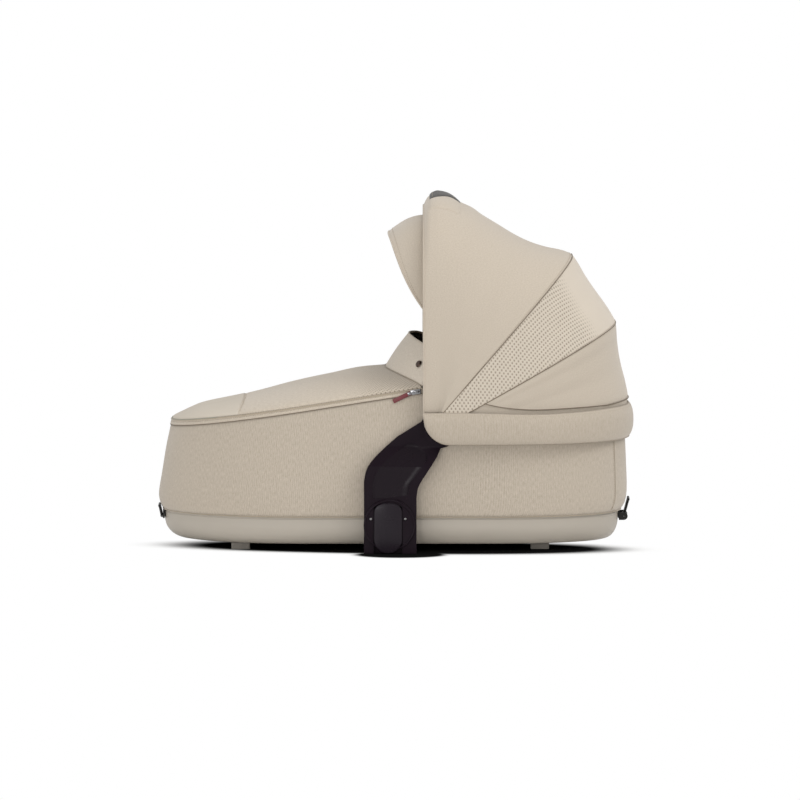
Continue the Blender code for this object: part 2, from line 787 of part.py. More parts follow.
def apron_rows(lift, last):
    """Rows of apron points from the foot to one station."""
    rows = []
    for number in range(last + 1):
        rows.append([apron_point(number, 2 * step / APRON_ACROSS - 1, lift) for step in range(APRON_ACROSS + 1)])
    return rows


def make_apron(look):
    """Apron over the legs: a padded sheet, highest near the wind flap, zipped to the wall."""
    last = ARC_STEPS + APRON_STRAIGHT_STEPS
    return add_piece("apron_cover", shell(apron_rows(0.0, last), apron_rows(-APRON_THICKNESS, last)), look["apron"])


def make_toe_patch(look):
    """Smooth patch sewn over the foot end of the apron."""
    last = max(number for number in range(ARC_STEPS + 1) if apron_station(number)[0] <= TOE_SEAM_X)
    return add_piece(
        "apron_toe_patch", shell(apron_rows(GAP + TOE_THICKNESS, last), apron_rows(GAP, last)), look["patch"]
    )


def flap_rows(depth):
    """Bottom, middle and top rows of the wind flap, set back by a depth."""
    rows = []
    last = ARC_STEPS + APRON_STRAIGHT_STEPS
    for share in (0.0, 0.35, 0.7, 1.0):
        row = []
        for step in range(APRON_ACROSS + 1):
            across = FLAP_REACH_SHARE * (2 * step / APRON_ACROSS - 1)
            x, y, z = apron_point(last, across, GAP)
            fall = (across / FLAP_REACH_SHARE) ** 2
            height = FLAP_HEIGHT * share * (1 - (1 - FLAP_SIDE_SHARE) * fall)
            x += -FLAP_SET_IN + depth + height * math.sin(FLAP_LEAN)
            row.append((x, y, z + height * math.cos(FLAP_LEAN)))
        rows.append(row)
    return rows


def make_flap(look):
    """Raised wind flap: fabric towards the foot, dark lining towards the face, and a snap at each end."""
    flap = add_piece("wind_flap", shell(flap_rows(0.0), flap_rows(FLAP_THICKNESS)), look["apron"])
    behind = FLAP_THICKNESS + 2 * GAP
    lining = add_piece("flap_lining", shell(flap_rows(behind), flap_rows(behind + FLAP_LINING)), look["lining"])
    snaps = []
    rows = flap_rows(0.0)
    for word, column in (("left", 1), ("right", APRON_ACROSS - 1)):
        low, high = Vector(rows[1][column]), Vector(rows[2][column])
        along = (Vector(rows[1][column + 1]) - Vector(rows[1][column - 1])).normalized()
        normal = along.cross(high - low).normalized()
        if normal.x > 0:
            normal.negate()
        place = (low + high) / 2 + normal * (SNAP_HEIGHT / 2 + 2 * GAP)
        turn = normal.to_track_quat("Z", "Y").to_matrix().to_4x4()
        snap = bmesh.new()
        bmesh.ops.create_cone(
            snap,
            cap_ends=True,
            segments=20,
            radius1=SNAP_RADIUS,
            radius2=SNAP_RADIUS * 0.8,
            depth=SNAP_HEIGHT,
            matrix=Matrix.Translation(place) @ turn,
        )
        snaps.append(add_piece(f"flap_snap_{word}", snap, look["bronze"]))
    return flap, lining, *snaps


def zip_direction():
    """Unit vector along the sloping zip, towards the foot."""
    return Vector((-1.0, 0.0, -RIM_SLOPE)).normalized()


def sloped_box(side, x, offset, length, height, low_y, thickness):
    """A box along the zip: its centre lies at x on the zip's line, moved along it by an offset."""
    centre_z = rim_height(x) + zip_height(x) / 2
    place = Vector((x, side * (low_y + thickness / 2), centre_z)) + zip_direction() * offset
    turn = Matrix.Rotation(-math.atan(RIM_SLOPE), 4, "Y")
    shape = bmesh.new()
    size = Matrix.Diagonal((length, thickness, height, 1.0))
    bmesh.ops.create_cube(shape, size=1.0, matrix=Matrix.Translation(place) @ turn @ size)
    return shape


def puller_axis(side):
    """Where a puller hangs on its slider."""
    outside = WALL_HALF_WIDTH + GAP + (SLIDER_THICKNESS + PULLER_THICKNESS) / 2
    place = Vector((SLIDER_X, side * outside, 0.0))
    place.z = rim_height(SLIDER_X) + zip_height(SLIDER_X) / 2
    return place + zip_direction() * (SLIDER_LENGTH / 2 + GAP)


def make_zip_sliders(look):
    """A slider and its puller on each side."""
    for word, side in SIDES.items():
        base_y = WALL_HALF_WIDTH + GAP
        body = rounded(sloped_box(side, SLIDER_X, 0.0, SLIDER_LENGTH, SLIDER_HEIGHT, base_y, SLIDER_THICKNESS), 0.001)
        slider = add_piece(f"zip_slider_{word}", body, look["metal"])
        offset = SLIDER_LENGTH / 2 + GAP + PULLER_LENGTH / 2
        start_y = base_y + (SLIDER_THICKNESS - PULLER_THICKNESS) / 2
        tab = sloped_box(side, SLIDER_X, offset, PULLER_LENGTH, PULLER_HEIGHT, start_y, PULLER_THICKNESS)
        across = [edge for edge in tab.edges if abs(edge.verts[0].co.y - edge.verts[1].co.y) > PULLER_THICKNESS / 2]
        bmesh.ops.bevel(
            tab, geom=across, offset=PULLER_RADIUS, segments=4, profile=0.5, affect="EDGES", material=-1
        )
        puller = add_piece(f"zip_puller_{word}", tab, look["puller"])
        hang = pivot(f"puller_axis_{word}", puller_axis(side))
        carry(hang, puller)
        track = pivot(f"slider_track_{word}", (SLIDER_X, side * WALL_HALF_WIDTH, rim_height(SLIDER_X)))
        carry(track, slider)
        hang.parent = track
        hang.matrix_parent_inverse = Matrix.Translation(track.location).inverted()


def arch_point(angle, shift, radius, half_width, power, turn, normal_shift=0.0):
    """Point of a hood arch at a turn round it, in a plane through the hub's axis or set forward of it by a shift."""
    lean = math.radians(angle)
    reach = (abs(math.cos(turn) / half_width) ** power + abs(math.sin(turn) / radius) ** power) ** (-1 / power)
    out = reach * math.sin(turn)
    x = HUB_X + shift + out * math.cos(lean) - normal_shift * math.sin(lean)
    z = HUB_Z + out * math.sin(lean) + normal_shift * math.cos(lean)
    return x, -reach * math.cos(turn), z


def arch(angle, shift, radius, half_width, power, low_radius, steps, normal_shift=0.0):
    """Points of a hood arch from one side's lowest point to the other's."""
    low_share = min(0.999, low_radius / radius)
    low_y = half_width * (1 - low_share**power) ** (1 / power)
    first = math.atan2(low_radius, low_y)
    turns = [first + (math.pi - 2 * first) * step / steps for step in range(steps + 1)]
    return [arch_point(angle, shift, radius, half_width, power, turn, normal_shift) for turn in turns]


def fabric_half_width(angle):
    """Half width of the hood's outside, which widens over the eyes of each rib."""
    part = eased((angle - FABRIC_WIDE_ANGLE) / (90.0 - FABRIC_WIDE_ANGLE))
    return REAR_OUTER_Y + GAP + HOOD_FABRIC + (BOW_OUTER_Y - REAR_OUTER_Y) * part


def panel_rows(table, inset, first_shift, last_shift):
    """Rows of a hood panel, all starting and ending on the hem's plane."""
    rows = []
    for number, (angle, shift_share, radius_share, power) in enumerate(table):
        low = (HEM_Z - HUB_Z) / math.sin(math.radians(angle))
        side_shift = first_shift if number == 0 else last_shift if number == len(table) - 1 else 0.0
        rows.append(
            arch(
                angle,
                shift_share * BOW_WIDTH,
                HOOD_RADIUS * radius_share - inset,
                fabric_half_width(angle) - inset,
                power,
                low,
                HOOD_ACROSS,
                side_shift,
            )
        )
    return rows


def make_panel(name, table, material, first_shift, last_shift):
    """One hood panel as a thin closed sheet."""
    outer = panel_rows(table, 0.0, first_shift, last_shift)
    inner = panel_rows(table, HOOD_FABRIC, first_shift, last_shift)
    return add_piece(name, shell(outer, inner), material)


def make_arch_strip(name, material, angle, centre, radius, half_width, depth, thickness, widths, eye_radius, power):
    """A moulded bow or rib: a strip along an arch, with a round eye on the hub's pin at each end."""
    corners = []
    for out, edge in ((0, -1), (0, 1), (1, 1), (1, -1)):
        line = arch(angle, centre, radius - depth * out, half_width - thickness * out, power, 0.0, HOOD_ACROSS)
        normal = Vector((-math.sin(math.radians(angle)), 0.0, math.cos(math.radians(angle))))
        moved = []
        for point in line:
            height = (Vector(point) - Vector((HUB_X + centre, point[1], HUB_Z))).length / radius
            width = widths[0] + (widths[1] - widths[0]) * eased(height)
            moved.append(Vector(point) + normal * (edge * width / 2))
        corners.append(moved)
    strip = add_piece(name, loft([list(ring) for ring in zip(*corners)]), material)
    for word, side in SIDES.items():
        low_y = half_width - thickness + EYE_INSET
        eye = cylinder(side, HUB_X, HUB_Z, eye_radius, low_y, half_width - EYE_INSET)
        combine(strip, hidden(f"{name}_eye_{word}", eye), "UNION")
    for word, side in SIDES.items():
        hole = cylinder(side, HUB_X, HUB_Z, HUB_PIN_RADIUS + GAP, WALL_HALF_WIDTH, REAR_OUTER_Y + OVERRUN)
        combine(strip, hidden(f"{name}_hole_{word}", hole), "DIFFERENCE")
    return strip


def rib_radius(angle, table):
    """Outside radius of a rib that lies under the fabric."""
    lowest = min(row[2] for row in table if abs(row[0] - angle) < 3)
    here = [row[2] for row in table if row[0] == angle][0]
    return HOOD_RADIUS * (here + lowest) / 2 - HOOD_FABRIC - RIB_CLEAR


def make_hood_frame(look):
    """Bow, middle rib and rear rib, nested on one pin at each side."""
    bow = make_arch_strip(
        "hood_bow",
        look["arm"],
        90.0,
        BOW_CENTRE_X - HUB_X,
        BOW_RADIUS,
        BOW_OUTER_Y,
        BOW_DEPTH,
        BOW_THICKNESS,
        (BOW_FOOT_WIDTH, BOW_WIDTH),
        HUB_RADIUS,
        FRONT_PANEL_SHARES[0][3] - ARCH_EASE,
    )
    ribs = []
    for name, angle, table, outer_y in (
        ("rib_middle", MIDDLE_ANGLE, MESH_PANEL_SHARES, MIDDLE_OUTER_Y),
        ("rib_rear", REAR_ANGLE, REAR_PANEL_SHARES, REAR_OUTER_Y),
    ):
        ribs.append(
            make_arch_strip(
                name,
                look["arm"],
                angle,
                0.0,
                rib_radius(angle, table),
                outer_y,
                RIB_THICKNESS,
                RIB_THICKNESS,
                (RIB_WIDTH, RIB_WIDTH),
                RIB_EYE_RADIUS,
                table[0][3] - ARCH_EASE,
            )
        )
    return bow, ribs[0], ribs[1]


def handle_rows(reach, base, height):
    """Rows over the fabric's own rows: lifted by a base, and by a height that falls off toward the edges."""
    rows = []
    for (angle, shift_share, radius_share, power), share in zip(FRONT_PANEL_SHARES[HANDLE_ROWS], HANDLE_HEIGHT_SHARES):
        row = []
        for step in range(HANDLE_STEPS + 1):
            turn = reach * (2 * step / HANDLE_STEPS - 1)
            ease = 1 - (1 - HANDLE_EDGE_SHARE) * (abs(turn) / reach) ** HANDLE_FULLNESS
            lift = base(share, turn) + height * share * ease
            radius, half = HOOD_RADIUS * radius_share + lift, fabric_half_width(angle) + lift
            row.append(arch_point(angle, shift_share * BOW_WIDTH, radius, half, power, math.pi / 2 + turn))
        rows.append(row)
    return rows


def make_handle(look):
    """Pad over the bow, seated on the fabric, with a dark strip where the hand lies."""

    def on_fabric(share, turn):
        return 2 * GAP

    def on_pad(share, turn):
        ease = 1 - (1 - HANDLE_EDGE_SHARE) * (abs(turn) / HANDLE_REACH) ** HANDLE_FULLNESS
        return 4 * GAP + HANDLE_HEIGHT * share * ease

    outer, inner = handle_rows(HANDLE_REACH, on_fabric, HANDLE_HEIGHT), handle_rows(HANDLE_REACH, on_fabric, 0.0)
    handle = add_piece("handle", shell(outer, inner), look["patch"])
    outer, inner = handle_rows(GRIP_REACH, on_pad, GRIP_THICKNESS), handle_rows(GRIP_REACH, on_pad, 0.0)
    return handle, add_piece("handle_grip", shell(outer, inner), look["grip"])


def visor_row(share, inset):
    """A row of the visor: 0 where it is sewn to the bow's front, 1 at its free edge."""
    front = BOW_CENTRE_X - BOW_WIDTH / 2 - GAP
    power = FRONT_PANEL_SHARES[0][3]
    drop = VISOR_DROP + (VISOR_ROOT_DROP - VISOR_DROP) * max(0.0, 1 - share / VISOR_ROOT_SHARE)
    row = []
    for step in range(VISOR_ACROSS + 1):
        part = 2 * step / VISOR_ACROSS - 1
        turn = math.pi / 2 + VISOR_ARC * part
        depth = VISOR_REACH * (1 - abs(part) ** VISOR_FULLNESS) * share
        radius, half = BOW_RADIUS - drop - inset, BOW_OUTER_Y - drop - inset
        reach = (abs(math.cos(turn) / half) ** power + abs(math.sin(turn) / radius) ** power) ** (-1 / power)
        droop = VISOR_DROOP * (depth / VISOR_REACH) ** VISOR_DROOP_POWER
        x = front - depth - share * VISOR_EDGE_GAP
        row.append((x, -reach * math.cos(turn), HUB_Z + reach * math.sin(turn) - droop))
    return row


def make_visor(look):
    """Peak in front of the bow, with a wire in its free edge that turns on the bow's sides."""
    shares = (0.0, VISOR_ROOT_SHARE, 0.3, 0.65, 1.0)
    outer = [visor_row(share, 0.0) for share in shares]
    inner = [visor_row(share, VISOR_THICKNESS) for share in shares]
    visor = add_piece("visor", shell(outer, inner), look["hood"])
    edge = visor_row(1.0, VISOR_THICKNESS / 2)
    points = [(x - VISOR_WIRE_AHEAD, y, z) for x, y, z in edge]
    wire = add_tube("visor_wire", points, VISOR_WIRE_RADIUS, look["hood"])
    return visor, wire


def band_low(x):
    """Lower edge of the band, rounded up at its front corner."""
    part = 1 - (x - BAND_FRONT_X) / BAND_CORNER_X
    part = min(1.0, max(0.0, part))
    return BAND_LOW + BAND_CORNER_Z * (1 - math.sqrt(1 - part * part))


def make_band(look):
    """Padded band round the head end, over the hub."""
    inner_head = BAND_HEAD_X - BAND_THICKNESS + BAND_END_CLEAR
    reach = STRAIGHT_HALF - BAND_FRONT_X
    straight = [BAND_FRONT_X + reach * (step / BAND_STEPS) ** BAND_SPACING for step in range(BAND_STEPS)]
    lines = []
    for out in (0.0, 0.5, 1.0):
        head = inner_head + (BAND_HEAD_X - inner_head) * out
        half = BAND_INNER_Y + BAND_THICKNESS * out
        line = [(x, -half) for x in straight] + end_arc(head, half, -90, 90, ARC_STEPS)
        line += [(x, half) for x in reversed(straight)]
        lines.append(line)
    rings = []
    for inner, middle, outer in zip(*lines):
        low = band_low(inner[0])
        rise = BAND_HIGH - low
        edge = min(rise / 4, BAND_THICKNESS)
        rings.append(
            [
                (*inner, low + edge / 2),
                (*inner, BAND_HIGH - edge / 2),
                (*middle, BAND_HIGH),
                (*outer, BAND_HIGH - edge),
                (*outer, low + edge),
                (*middle, low),
            ]
        )
    return add_piece("hood_band", loft(rings), look["wall"])


def arm_face(z):
    """Distance of the arm's outer face from the middle plane: it steps in under the hub."""
    part = min(1.0, max(0.0, (z - ARM_SLOPE_LOW) / (ARM_SLOPE_HIGH - ARM_SLOPE_LOW)))
    return ARM_FACE_Y + (ARM_PLATE_Y - ARM_FACE_Y) * part


def slab(side, outline, low_of, high_of):
    """A plate with an outline in X and Z whose two faces lie where the two functions of Z say."""
    shape = bmesh.new()
    face = shape.faces.new([shape.verts.new((x, 0.0, z)) for x, z in outline])
    made = bmesh.ops.extrude_face_region(shape, geom=[face])
    moved = [item for item in made["geom"] if isinstance(item, bmesh.types.BMVert)]
    bmesh.ops.translate(shape, verts=moved, vec=(0.0, 1.0, 0.0))
    for step in range(ARM_LEVELS + 1):
        z = ARM_SLOPE_LOW + (ARM_SLOPE_HIGH - ARM_SLOPE_LOW) * step / ARM_LEVELS
        everything = shape.verts[:] + shape.edges[:] + shape.faces[:]
        bmesh.ops.bisect_plane(shape, geom=everything, plane_co=(0.0, 0.0, z), plane_no=(0.0, 0.0, 1.0))
    for vertex in shape.verts:
        far = vertex.co.y > 0.5
        vertex.co.y = side * (high_of(vertex.co.z) if far else low_of(vertex.co.z))
    return shape


def arm_place(share):
    """A point of the arm's outline from its shares."""
    return ARM_LEFT_X + share[0] * ARM_WIDTH, share[1] * HUB_Z


def arm_outline():
    """Outline of the side arm: upright at the bottom, leaning to the hub, with a round head."""
    points = [(ARM_LEFT_X, 0.0)]
    points += curved([arm_place(share) for share in ARM_FOOT_SIDE_SHARES])
    for step in range(ARM_HEAD_STEPS + 1):
        angle = math.radians(ARM_HEAD_START - ARM_HEAD_SWEEP * step / ARM_HEAD_STEPS)
        points.append((HUB_X + ARM_HUB_RADIUS * math.cos(angle), HUB_Z + ARM_HUB_RADIUS * math.sin(angle)))
    points += curved([arm_place(share) for share in ARM_HEAD_SIDE_SHARES])
    points.append((ARM_LEFT_X + ARM_WIDTH, 0.0))
    return points


def button_outline(grow, open_below):
    """Capsule outline of the release button, or of the slot that it moves in."""
    half = BUTTON_WIDTH / 2 + grow
    centre_z = BUTTON_LOW + BUTTON_WIDTH / 2
    points = []
    for step in range(BUTTON_STEPS + 1):
        across = 1 - 2 * step / BUTTON_STEPS
        z = BUTTON_SHOULDER + grow + (BUTTON_HIGH - BUTTON_SHOULDER) * (1 - across**2)
        points.append((BUTTON_X + half * across, z))
    if open_below:
        return points + [(BUTTON_X - half, -OVERRUN), (BUTTON_X + half, -OVERRUN)]
    for step in range(BUTTON_STEPS + 1):
        angle = math.radians(180 + 180 * step / BUTTON_STEPS)
        points.append((BUTTON_X + half * math.cos(angle), centre_z + half * math.sin(angle)))
    return points


def flat(value):
    """A face at one distance from the middle plane."""
    return lambda z: value


def make_arm(side, word, look):
    """Side arm: chassis socket below, inset panel, slot for the button, bore for the hub's pin."""
    arm = add_piece(f"side_arm_{word}", slab(side, arm_outline(), flat(ARM_INNER_Y), arm_face), look["arm"])
    start, end = arm_bottom()
    low = (start, ARM_BLOCK_INNER_Y, 0.0)
    block = side_box(side, low, (end, ARM_INNER_Y + OVERRUN, ARM_BLOCK_TOP))
    combine(arm, hidden(f"arm_block_{word}", block), "UNION")
    middle_x = ARM_LEFT_X + ARM_WIDTH / 2
    low = (middle_x - SOCKET_LENGTH / 2, SOCKET_INNER_Y, -OVERRUN)
    high = (middle_x + SOCKET_LENGTH / 2, SOCKET_INNER_Y + SOCKET_DEPTH, SOCKET_HEIGHT)
    combine(arm, hidden(f"socket_{word}", side_box(side, low, high)), "DIFFERENCE")
    panel = curved([arm_place(share) for share in ARM_PANEL_SHARES + ARM_PANEL_SHARES[:1]], 2)[:-1]
    recess = slab(side, panel, lambda z: arm_face(z) - ARM_RECESS, lambda z: arm_face(z) + OVERRUN)
    combine(arm, hidden(f"arm_recess_{word}", recess), "DIFFERENCE")
    floor = button_back() - BUTTON_TRAVEL - BUTTON_CLEAR
    slot = slab(side, button_outline(BUTTON_CLEAR, True), flat(floor), flat(ARM_FACE_Y + OVERRUN))
    combine(arm, hidden(f"button_slot_{word}", slot), "DIFFERENCE")
    bores = bmesh.new()
    add_shape(bores, cylinder(side, BUTTON_X, SPRING_Z, SPRING_HOLE_RADIUS, floor - SPRING_HOLE_DEPTH, floor + OVERRUN))
    add_shape(
        bores, cylinder(side, HUB_X, HUB_Z, HUB_PIN_RADIUS + GAP, ARM_INNER_Y - OVERRUN, ARM_PLATE_Y + OVERRUN)
    )
    for x, z in SCREW_PLACES:
        tip = screw_seat() - SCREW_LENGTH - GAP
        add_shape(bores, cylinder(side, x, z, SCREW_RADIUS + GAP, tip, ARM_FACE_Y + OVERRUN, 16))
    combine(arm, hidden(f"arm_bores_{word}", bores), "DIFFERENCE")
    return arm


def button_back():
    """Distance of the button's back from the middle plane."""
    return ARM_FACE_Y + GAP + DISC_THICKNESS + BUTTON_PROUD - BUTTON_THICKNESS


def screw_seat():
    """Face that the screws' heads rest on."""
    return ARM_FACE_Y + GAP + DISC_THICKNESS + GAP


def make_disc(side, word, look):
    """Round adaptor plate with a raised rim, cut out for the button and bored for the screws."""
    base = ARM_FACE_Y + GAP
    face = base + DISC_THICKNESS
    inner = DISC_RADIUS - DISC_RING_WIDTH
    profile = (
        (0.0, base),
        (DISC_RADIUS, base),
        (DISC_RADIUS, face + DISC_RING / 2),
        (DISC_RADIUS - DISC_RING / 2, face + DISC_RING),
        (inner + DISC_RING / 2, face + DISC_RING),
        (inner, face),
        (0.0, face),
    )
    shape = bmesh.new()
    line = [shape.verts.new((DISC_X + radius, side * y, DISC_Z)) for radius, y in profile]
    edges = [shape.edges.new(pair) for pair in zip(line, line[1:])]
    bmesh.ops.spin(
        shape,
        geom=line + edges,
        cent=(DISC_X, 0.0, DISC_Z),
        axis=(0.0, 1.0, 0.0),
        angle=math.radians(360),
        steps=40,
        use_merge=True,
    )
    bmesh.ops.remove_doubles(shape, verts=shape.verts, dist=0.00001)
    disc = add_piece(f"adaptor_disc_{word}", shape, look["arm"])
    cut = slab(side, button_outline(BUTTON_CLEAR, True), flat(base - OVERRUN), flat(face + OVERRUN))
    combine(disc, hidden(f"disc_slot_{word}", cut), "DIFFERENCE")
    bores = bmesh.new()
    for x, z in SCREW_PLACES:
        add_shape(bores, cylinder(side, x, z, SCREW_RADIUS + GAP, base - OVERRUN, face + OVERRUN, 16))
    combine(disc, hidden(f"disc_bores_{word}", bores), "DIFFERENCE")
    return disc


def make_button(side, word, look):
    """Capsule-shaped release button and the spring behind it."""
    back = button_back()
    shape = slab(side, button_outline(0.0, False), flat(back), flat(back + BUTTON_THICKNESS))
    bmesh.ops.recalc_face_normals(shape, faces=shape.faces)
    front_y = side * (back + BUTTON_THICKNESS)
    rim = [edge for edge in shape.edges if all(abs(v.co.y - front_y) < GAP for v in edge.verts)]
    bmesh.ops.bevel(
        shape, geom=rim, offset=BUTTON_BEVEL, segments=2, profile=0.5, affect="EDGES", clamp_overlap=True, material=-1
    )
    button = add_piece(f"release_button_{word}", shape, look["arm"])
    carry(pivot(f"button_axis_{word}", (BUTTON_X, side * back, SPRING_Z)), button)
    low = back - BUTTON_TRAVEL - BUTTON_CLEAR - SPRING_HOLE_DEPTH + GAP + SPRING_WIRE
    high = back - GAP - SPRING_WIRE
    count = SPRING_TURNS * SPRING_POINTS
    points = []
    for step in range(count + 1):
        turn = 2 * math.pi * step / SPRING_POINTS
        y = side * (low + (high - low) * step / count)
        points.append((BUTTON_X + SPRING_RADIUS * math.cos(turn), y, SPRING_Z + SPRING_RADIUS * math.sin(turn)))
    add_tube(f"button_spring_{word}", points, SPRING_WIRE, look["metal"], resolution=1)
    return button


def make_screws(look):
    """Two screws that hold each adaptor plate."""
    seat = screw_seat()
    for word, side in SIDES.items():
        for number, (x, z) in enumerate(SCREW_PLACES, 1):
            profile = (
                (0.0, seat - SCREW_LENGTH),
                (SCREW_RADIUS, seat - SCREW_LENGTH),
                (SCREW_RADIUS, seat),
                (SCREW_HEAD_RADIUS, seat),
                (SCREW_HEAD_RADIUS, seat + SCREW_HEAD / 2),
                (SCREW_HEAD_RADIUS * 0.8, seat + SCREW_HEAD),
                (0.0, seat + SCREW_HEAD),
            )
            screw = bmesh.new()
            line = [screw.verts.new((x + radius, side * y, z)) for radius, y in profile]
            edges = [screw.edges.new(pair) for pair in zip(line, line[1:])]
            bmesh.ops.spin(
                screw,
                geom=line + edges,
                cent=(x, 0.0, z),
                axis=(0.0, 1.0, 0.0),
                angle=math.radians(360),
                steps=16,
                use_merge=True,
            )
            bmesh.ops.remove_doubles(screw, verts=screw.verts, dist=0.00001)
            add_piece(f"adaptor_screw_{word}_{number}", screw, look["metal"])


def make_hub_pin(side, word, look):
    """Headed pin that the bow and both ribs turn on."""
    start = ARM_INNER_Y
    head = REAR_OUTER_Y + GAP
    profile = (
        (0.0, start),
        (HUB_PIN_RADIUS, start),
        (HUB_PIN_RADIUS, head),
        (HUB_HEAD_RADIUS, head),
        (HUB_HEAD_RADIUS, head + HUB_HEAD),
        (0.0, head + HUB_HEAD),
    )
    shape = bmesh.new()
    line = [shape.verts.new((HUB_X + radius, side * y, HUB_Z)) for radius, y in profile]
    edges = [shape.edges.new(pair) for pair in zip(line, line[1:])]
    bmesh.ops.spin(
        shape,
        geom=line + edges,
        cent=(HUB_X, 0.0, HUB_Z),
        axis=(0.0, 1.0, 0.0),
        angle=math.radians(360),
        steps=24,
        use_merge=True,
    )
    bmesh.ops.remove_doubles(shape, verts=shape.verts, dist=0.00001)
    return add_piece(f"hub_pin_{word}", shape, look["metal"])


def catch_bar(sign, x, radius, low_y, high_y):
    """A round bar along a catch's pin, between two places across the cot."""
    return cylinder(1, sign * x, CATCH_PIN_Z, radius, low_y, high_y, 16)


def catch_block(sign, low_x, high_x, half_y, low_z, high_z, middle_y=0.0):
    """A box at one end of the cot, from its distances to the middle."""
    low, high = sorted((sign * low_x, sign * high_x))
    return box((low, middle_y - half_y, low_z), (high, middle_y + half_y, high_z))


def make_catch(name, sign, tray_x, wall_x, top, look):
    """End catch: a bracket with two ears on the tray, a lever that hooks over the wall's hem, and its pin."""
    inner = abs(tray_x) + GAP
    plate = inner + CATCH_BRACKET
    lever_in = wall_x + 2 * GAP
    pin_x = (plate + lever_in) / 2
    half = CATCH_WIDTH / 2
    eye = pin_x - plate - 2 * GAP
    bracket_shape = catch_block(sign, inner, plate, half, CATCH_LOW, TRAY_TOP - GAP)
    bracket = add_piece(f"{name}_catch_bracket", bracket_shape, look["catch"])
    ears = bmesh.new()
    for middle_y in (CATCH_EAR / 2 - half, half - CATCH_EAR / 2):
        overlap = catch_block(
            sign, plate - CATCH_BRACKET / 2, pin_x, CATCH_EAR / 2, CATCH_PIN_Z - eye, CATCH_PIN_Z + eye, middle_y
        )
        add_shape(ears, overlap)
    combine(bracket, hidden(f"{name}_ears", ears), "UNION")
    eyes = bmesh.new()
    for low_y in (-half, half - CATCH_EAR):
        add_shape(eyes, catch_bar(sign, pin_x, eye, low_y + EYE_INSET, low_y + CATCH_EAR - EYE_INSET))
    combine(bracket, hidden(f"{name}_eyes", eyes), "UNION")
    bore = hidden(f"{name}_bore", catch_bar(sign, pin_x, CATCH_PIN_RADIUS + GAP, -half - OVERRUN, half + OVERRUN))
    combine(bracket, bore, "DIFFERENCE")
    low_z = CATCH_PIN_Z - eye
    lever_shape = rounded(catch_block(sign, lever_in, lever_in + CATCH_LEVER, half, low_z, top), CATCH_LEVER / 3)
    lever = add_piece(f"{name}_catch_lever", lever_shape, look["catch"])
    reach = half - CATCH_EAR - 2 * GAP
    web = catch_block(
        sign, pin_x, lever_in + CATCH_LEVER / 2, reach - EYE_INSET, CATCH_PIN_Z - eye / 2, CATCH_PIN_Z + eye
    )
    combine(lever, hidden(f"{name}_web", web), "UNION")
    barrel = catch_bar(sign, pin_x, eye, -reach, reach)
    combine(lever, hidden(f"{name}_barrel", barrel), "UNION")
    combine(lever, bore, "DIFFERENCE")
    pin = add_piece(f"{name}_catch_pin", catch_bar(sign, pin_x, CATCH_PIN_RADIUS, -half, half), look["metal"])
    carry(pivot(f"{name}_catch_axis", (sign * pin_x, 0.0, CATCH_PIN_Z)), lever)
    return bracket, lever, pin


def build():
    """Makes every piece of the cot."""
    clear_scene()
    look = finishes()
    make_tray(look)
    make_feet(look)
    make_board_notches(make_board(look))
    make_wall(look)
    make_liner(look)
    make_rim_tube(look)
    make_mattress(look)
    make_zip_tape(look)
    make_zip_sliders(look)
    apron = make_apron(look)
    toe = make_toe_patch(look)
    flap_pieces = make_flap(look)
    hinge_x = APRON_FRONT_X
    carry(pivot("apron_axis", (hinge_x, 0.0, rim_height(hinge_x))), apron, toe, *flap_pieces)
    bow, middle, rear = make_hood_frame(look)
    half_seam = SEAM_GAP / 2
    make_panel("hood_front_panel", FRONT_PANEL_SHARES, look["hood"], 0.0, half_seam)
    make_panel("hood_mesh_panel", MESH_PANEL_SHARES, look["knit"], -half_seam, half_seam)
    make_panel("hood_rear_panel", REAR_PANEL_SHARES, look["hood"], -half_seam, 0.0)
    handle, grip = make_handle(look)
    visor, wire = make_visor(look)
    carry(pivot("hood_axis", (HUB_X, 0.0, HUB_Z)), bow, middle, rear, handle, grip, visor)
    wire_end = visor_row(1.0, VISOR_THICKNESS / 2)[0]
    carry(pivot("visor_axis", (wire_end[0] - VISOR_WIRE_AHEAD, 0.0, wire_end[2])), wire)
    make_band(look)
    for word, side in SIDES.items():
        make_arm(side, word, look)
        make_disc(side, word, look)
        make_button(side, word, look)
        make_hub_pin(side, word, look)
    make_screws(look)
    make_catch("foot", -1, TRAY_FOOT_X, CATCH_FOOT_WALL, CATCH_FOOT_TOP, look)
    make_catch("head", 1, TRAY_HEAD_X, CATCH_HEAD_WALL, CATCH_HEAD_TOP, look)


build()
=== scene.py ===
# %% [markdown]
# # Dressing a carrycot
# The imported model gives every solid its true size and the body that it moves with. This script keeps the hard
# pieces, gives them finishes, and puts modelled cloth in place of each plain soft solid. Everything is in metres,
# with the foot end at -X, the head end at +X and the floor at Z = 0.

import json
import math

import bmesh
import bpy
from mathutils import Matrix, Vector, noise

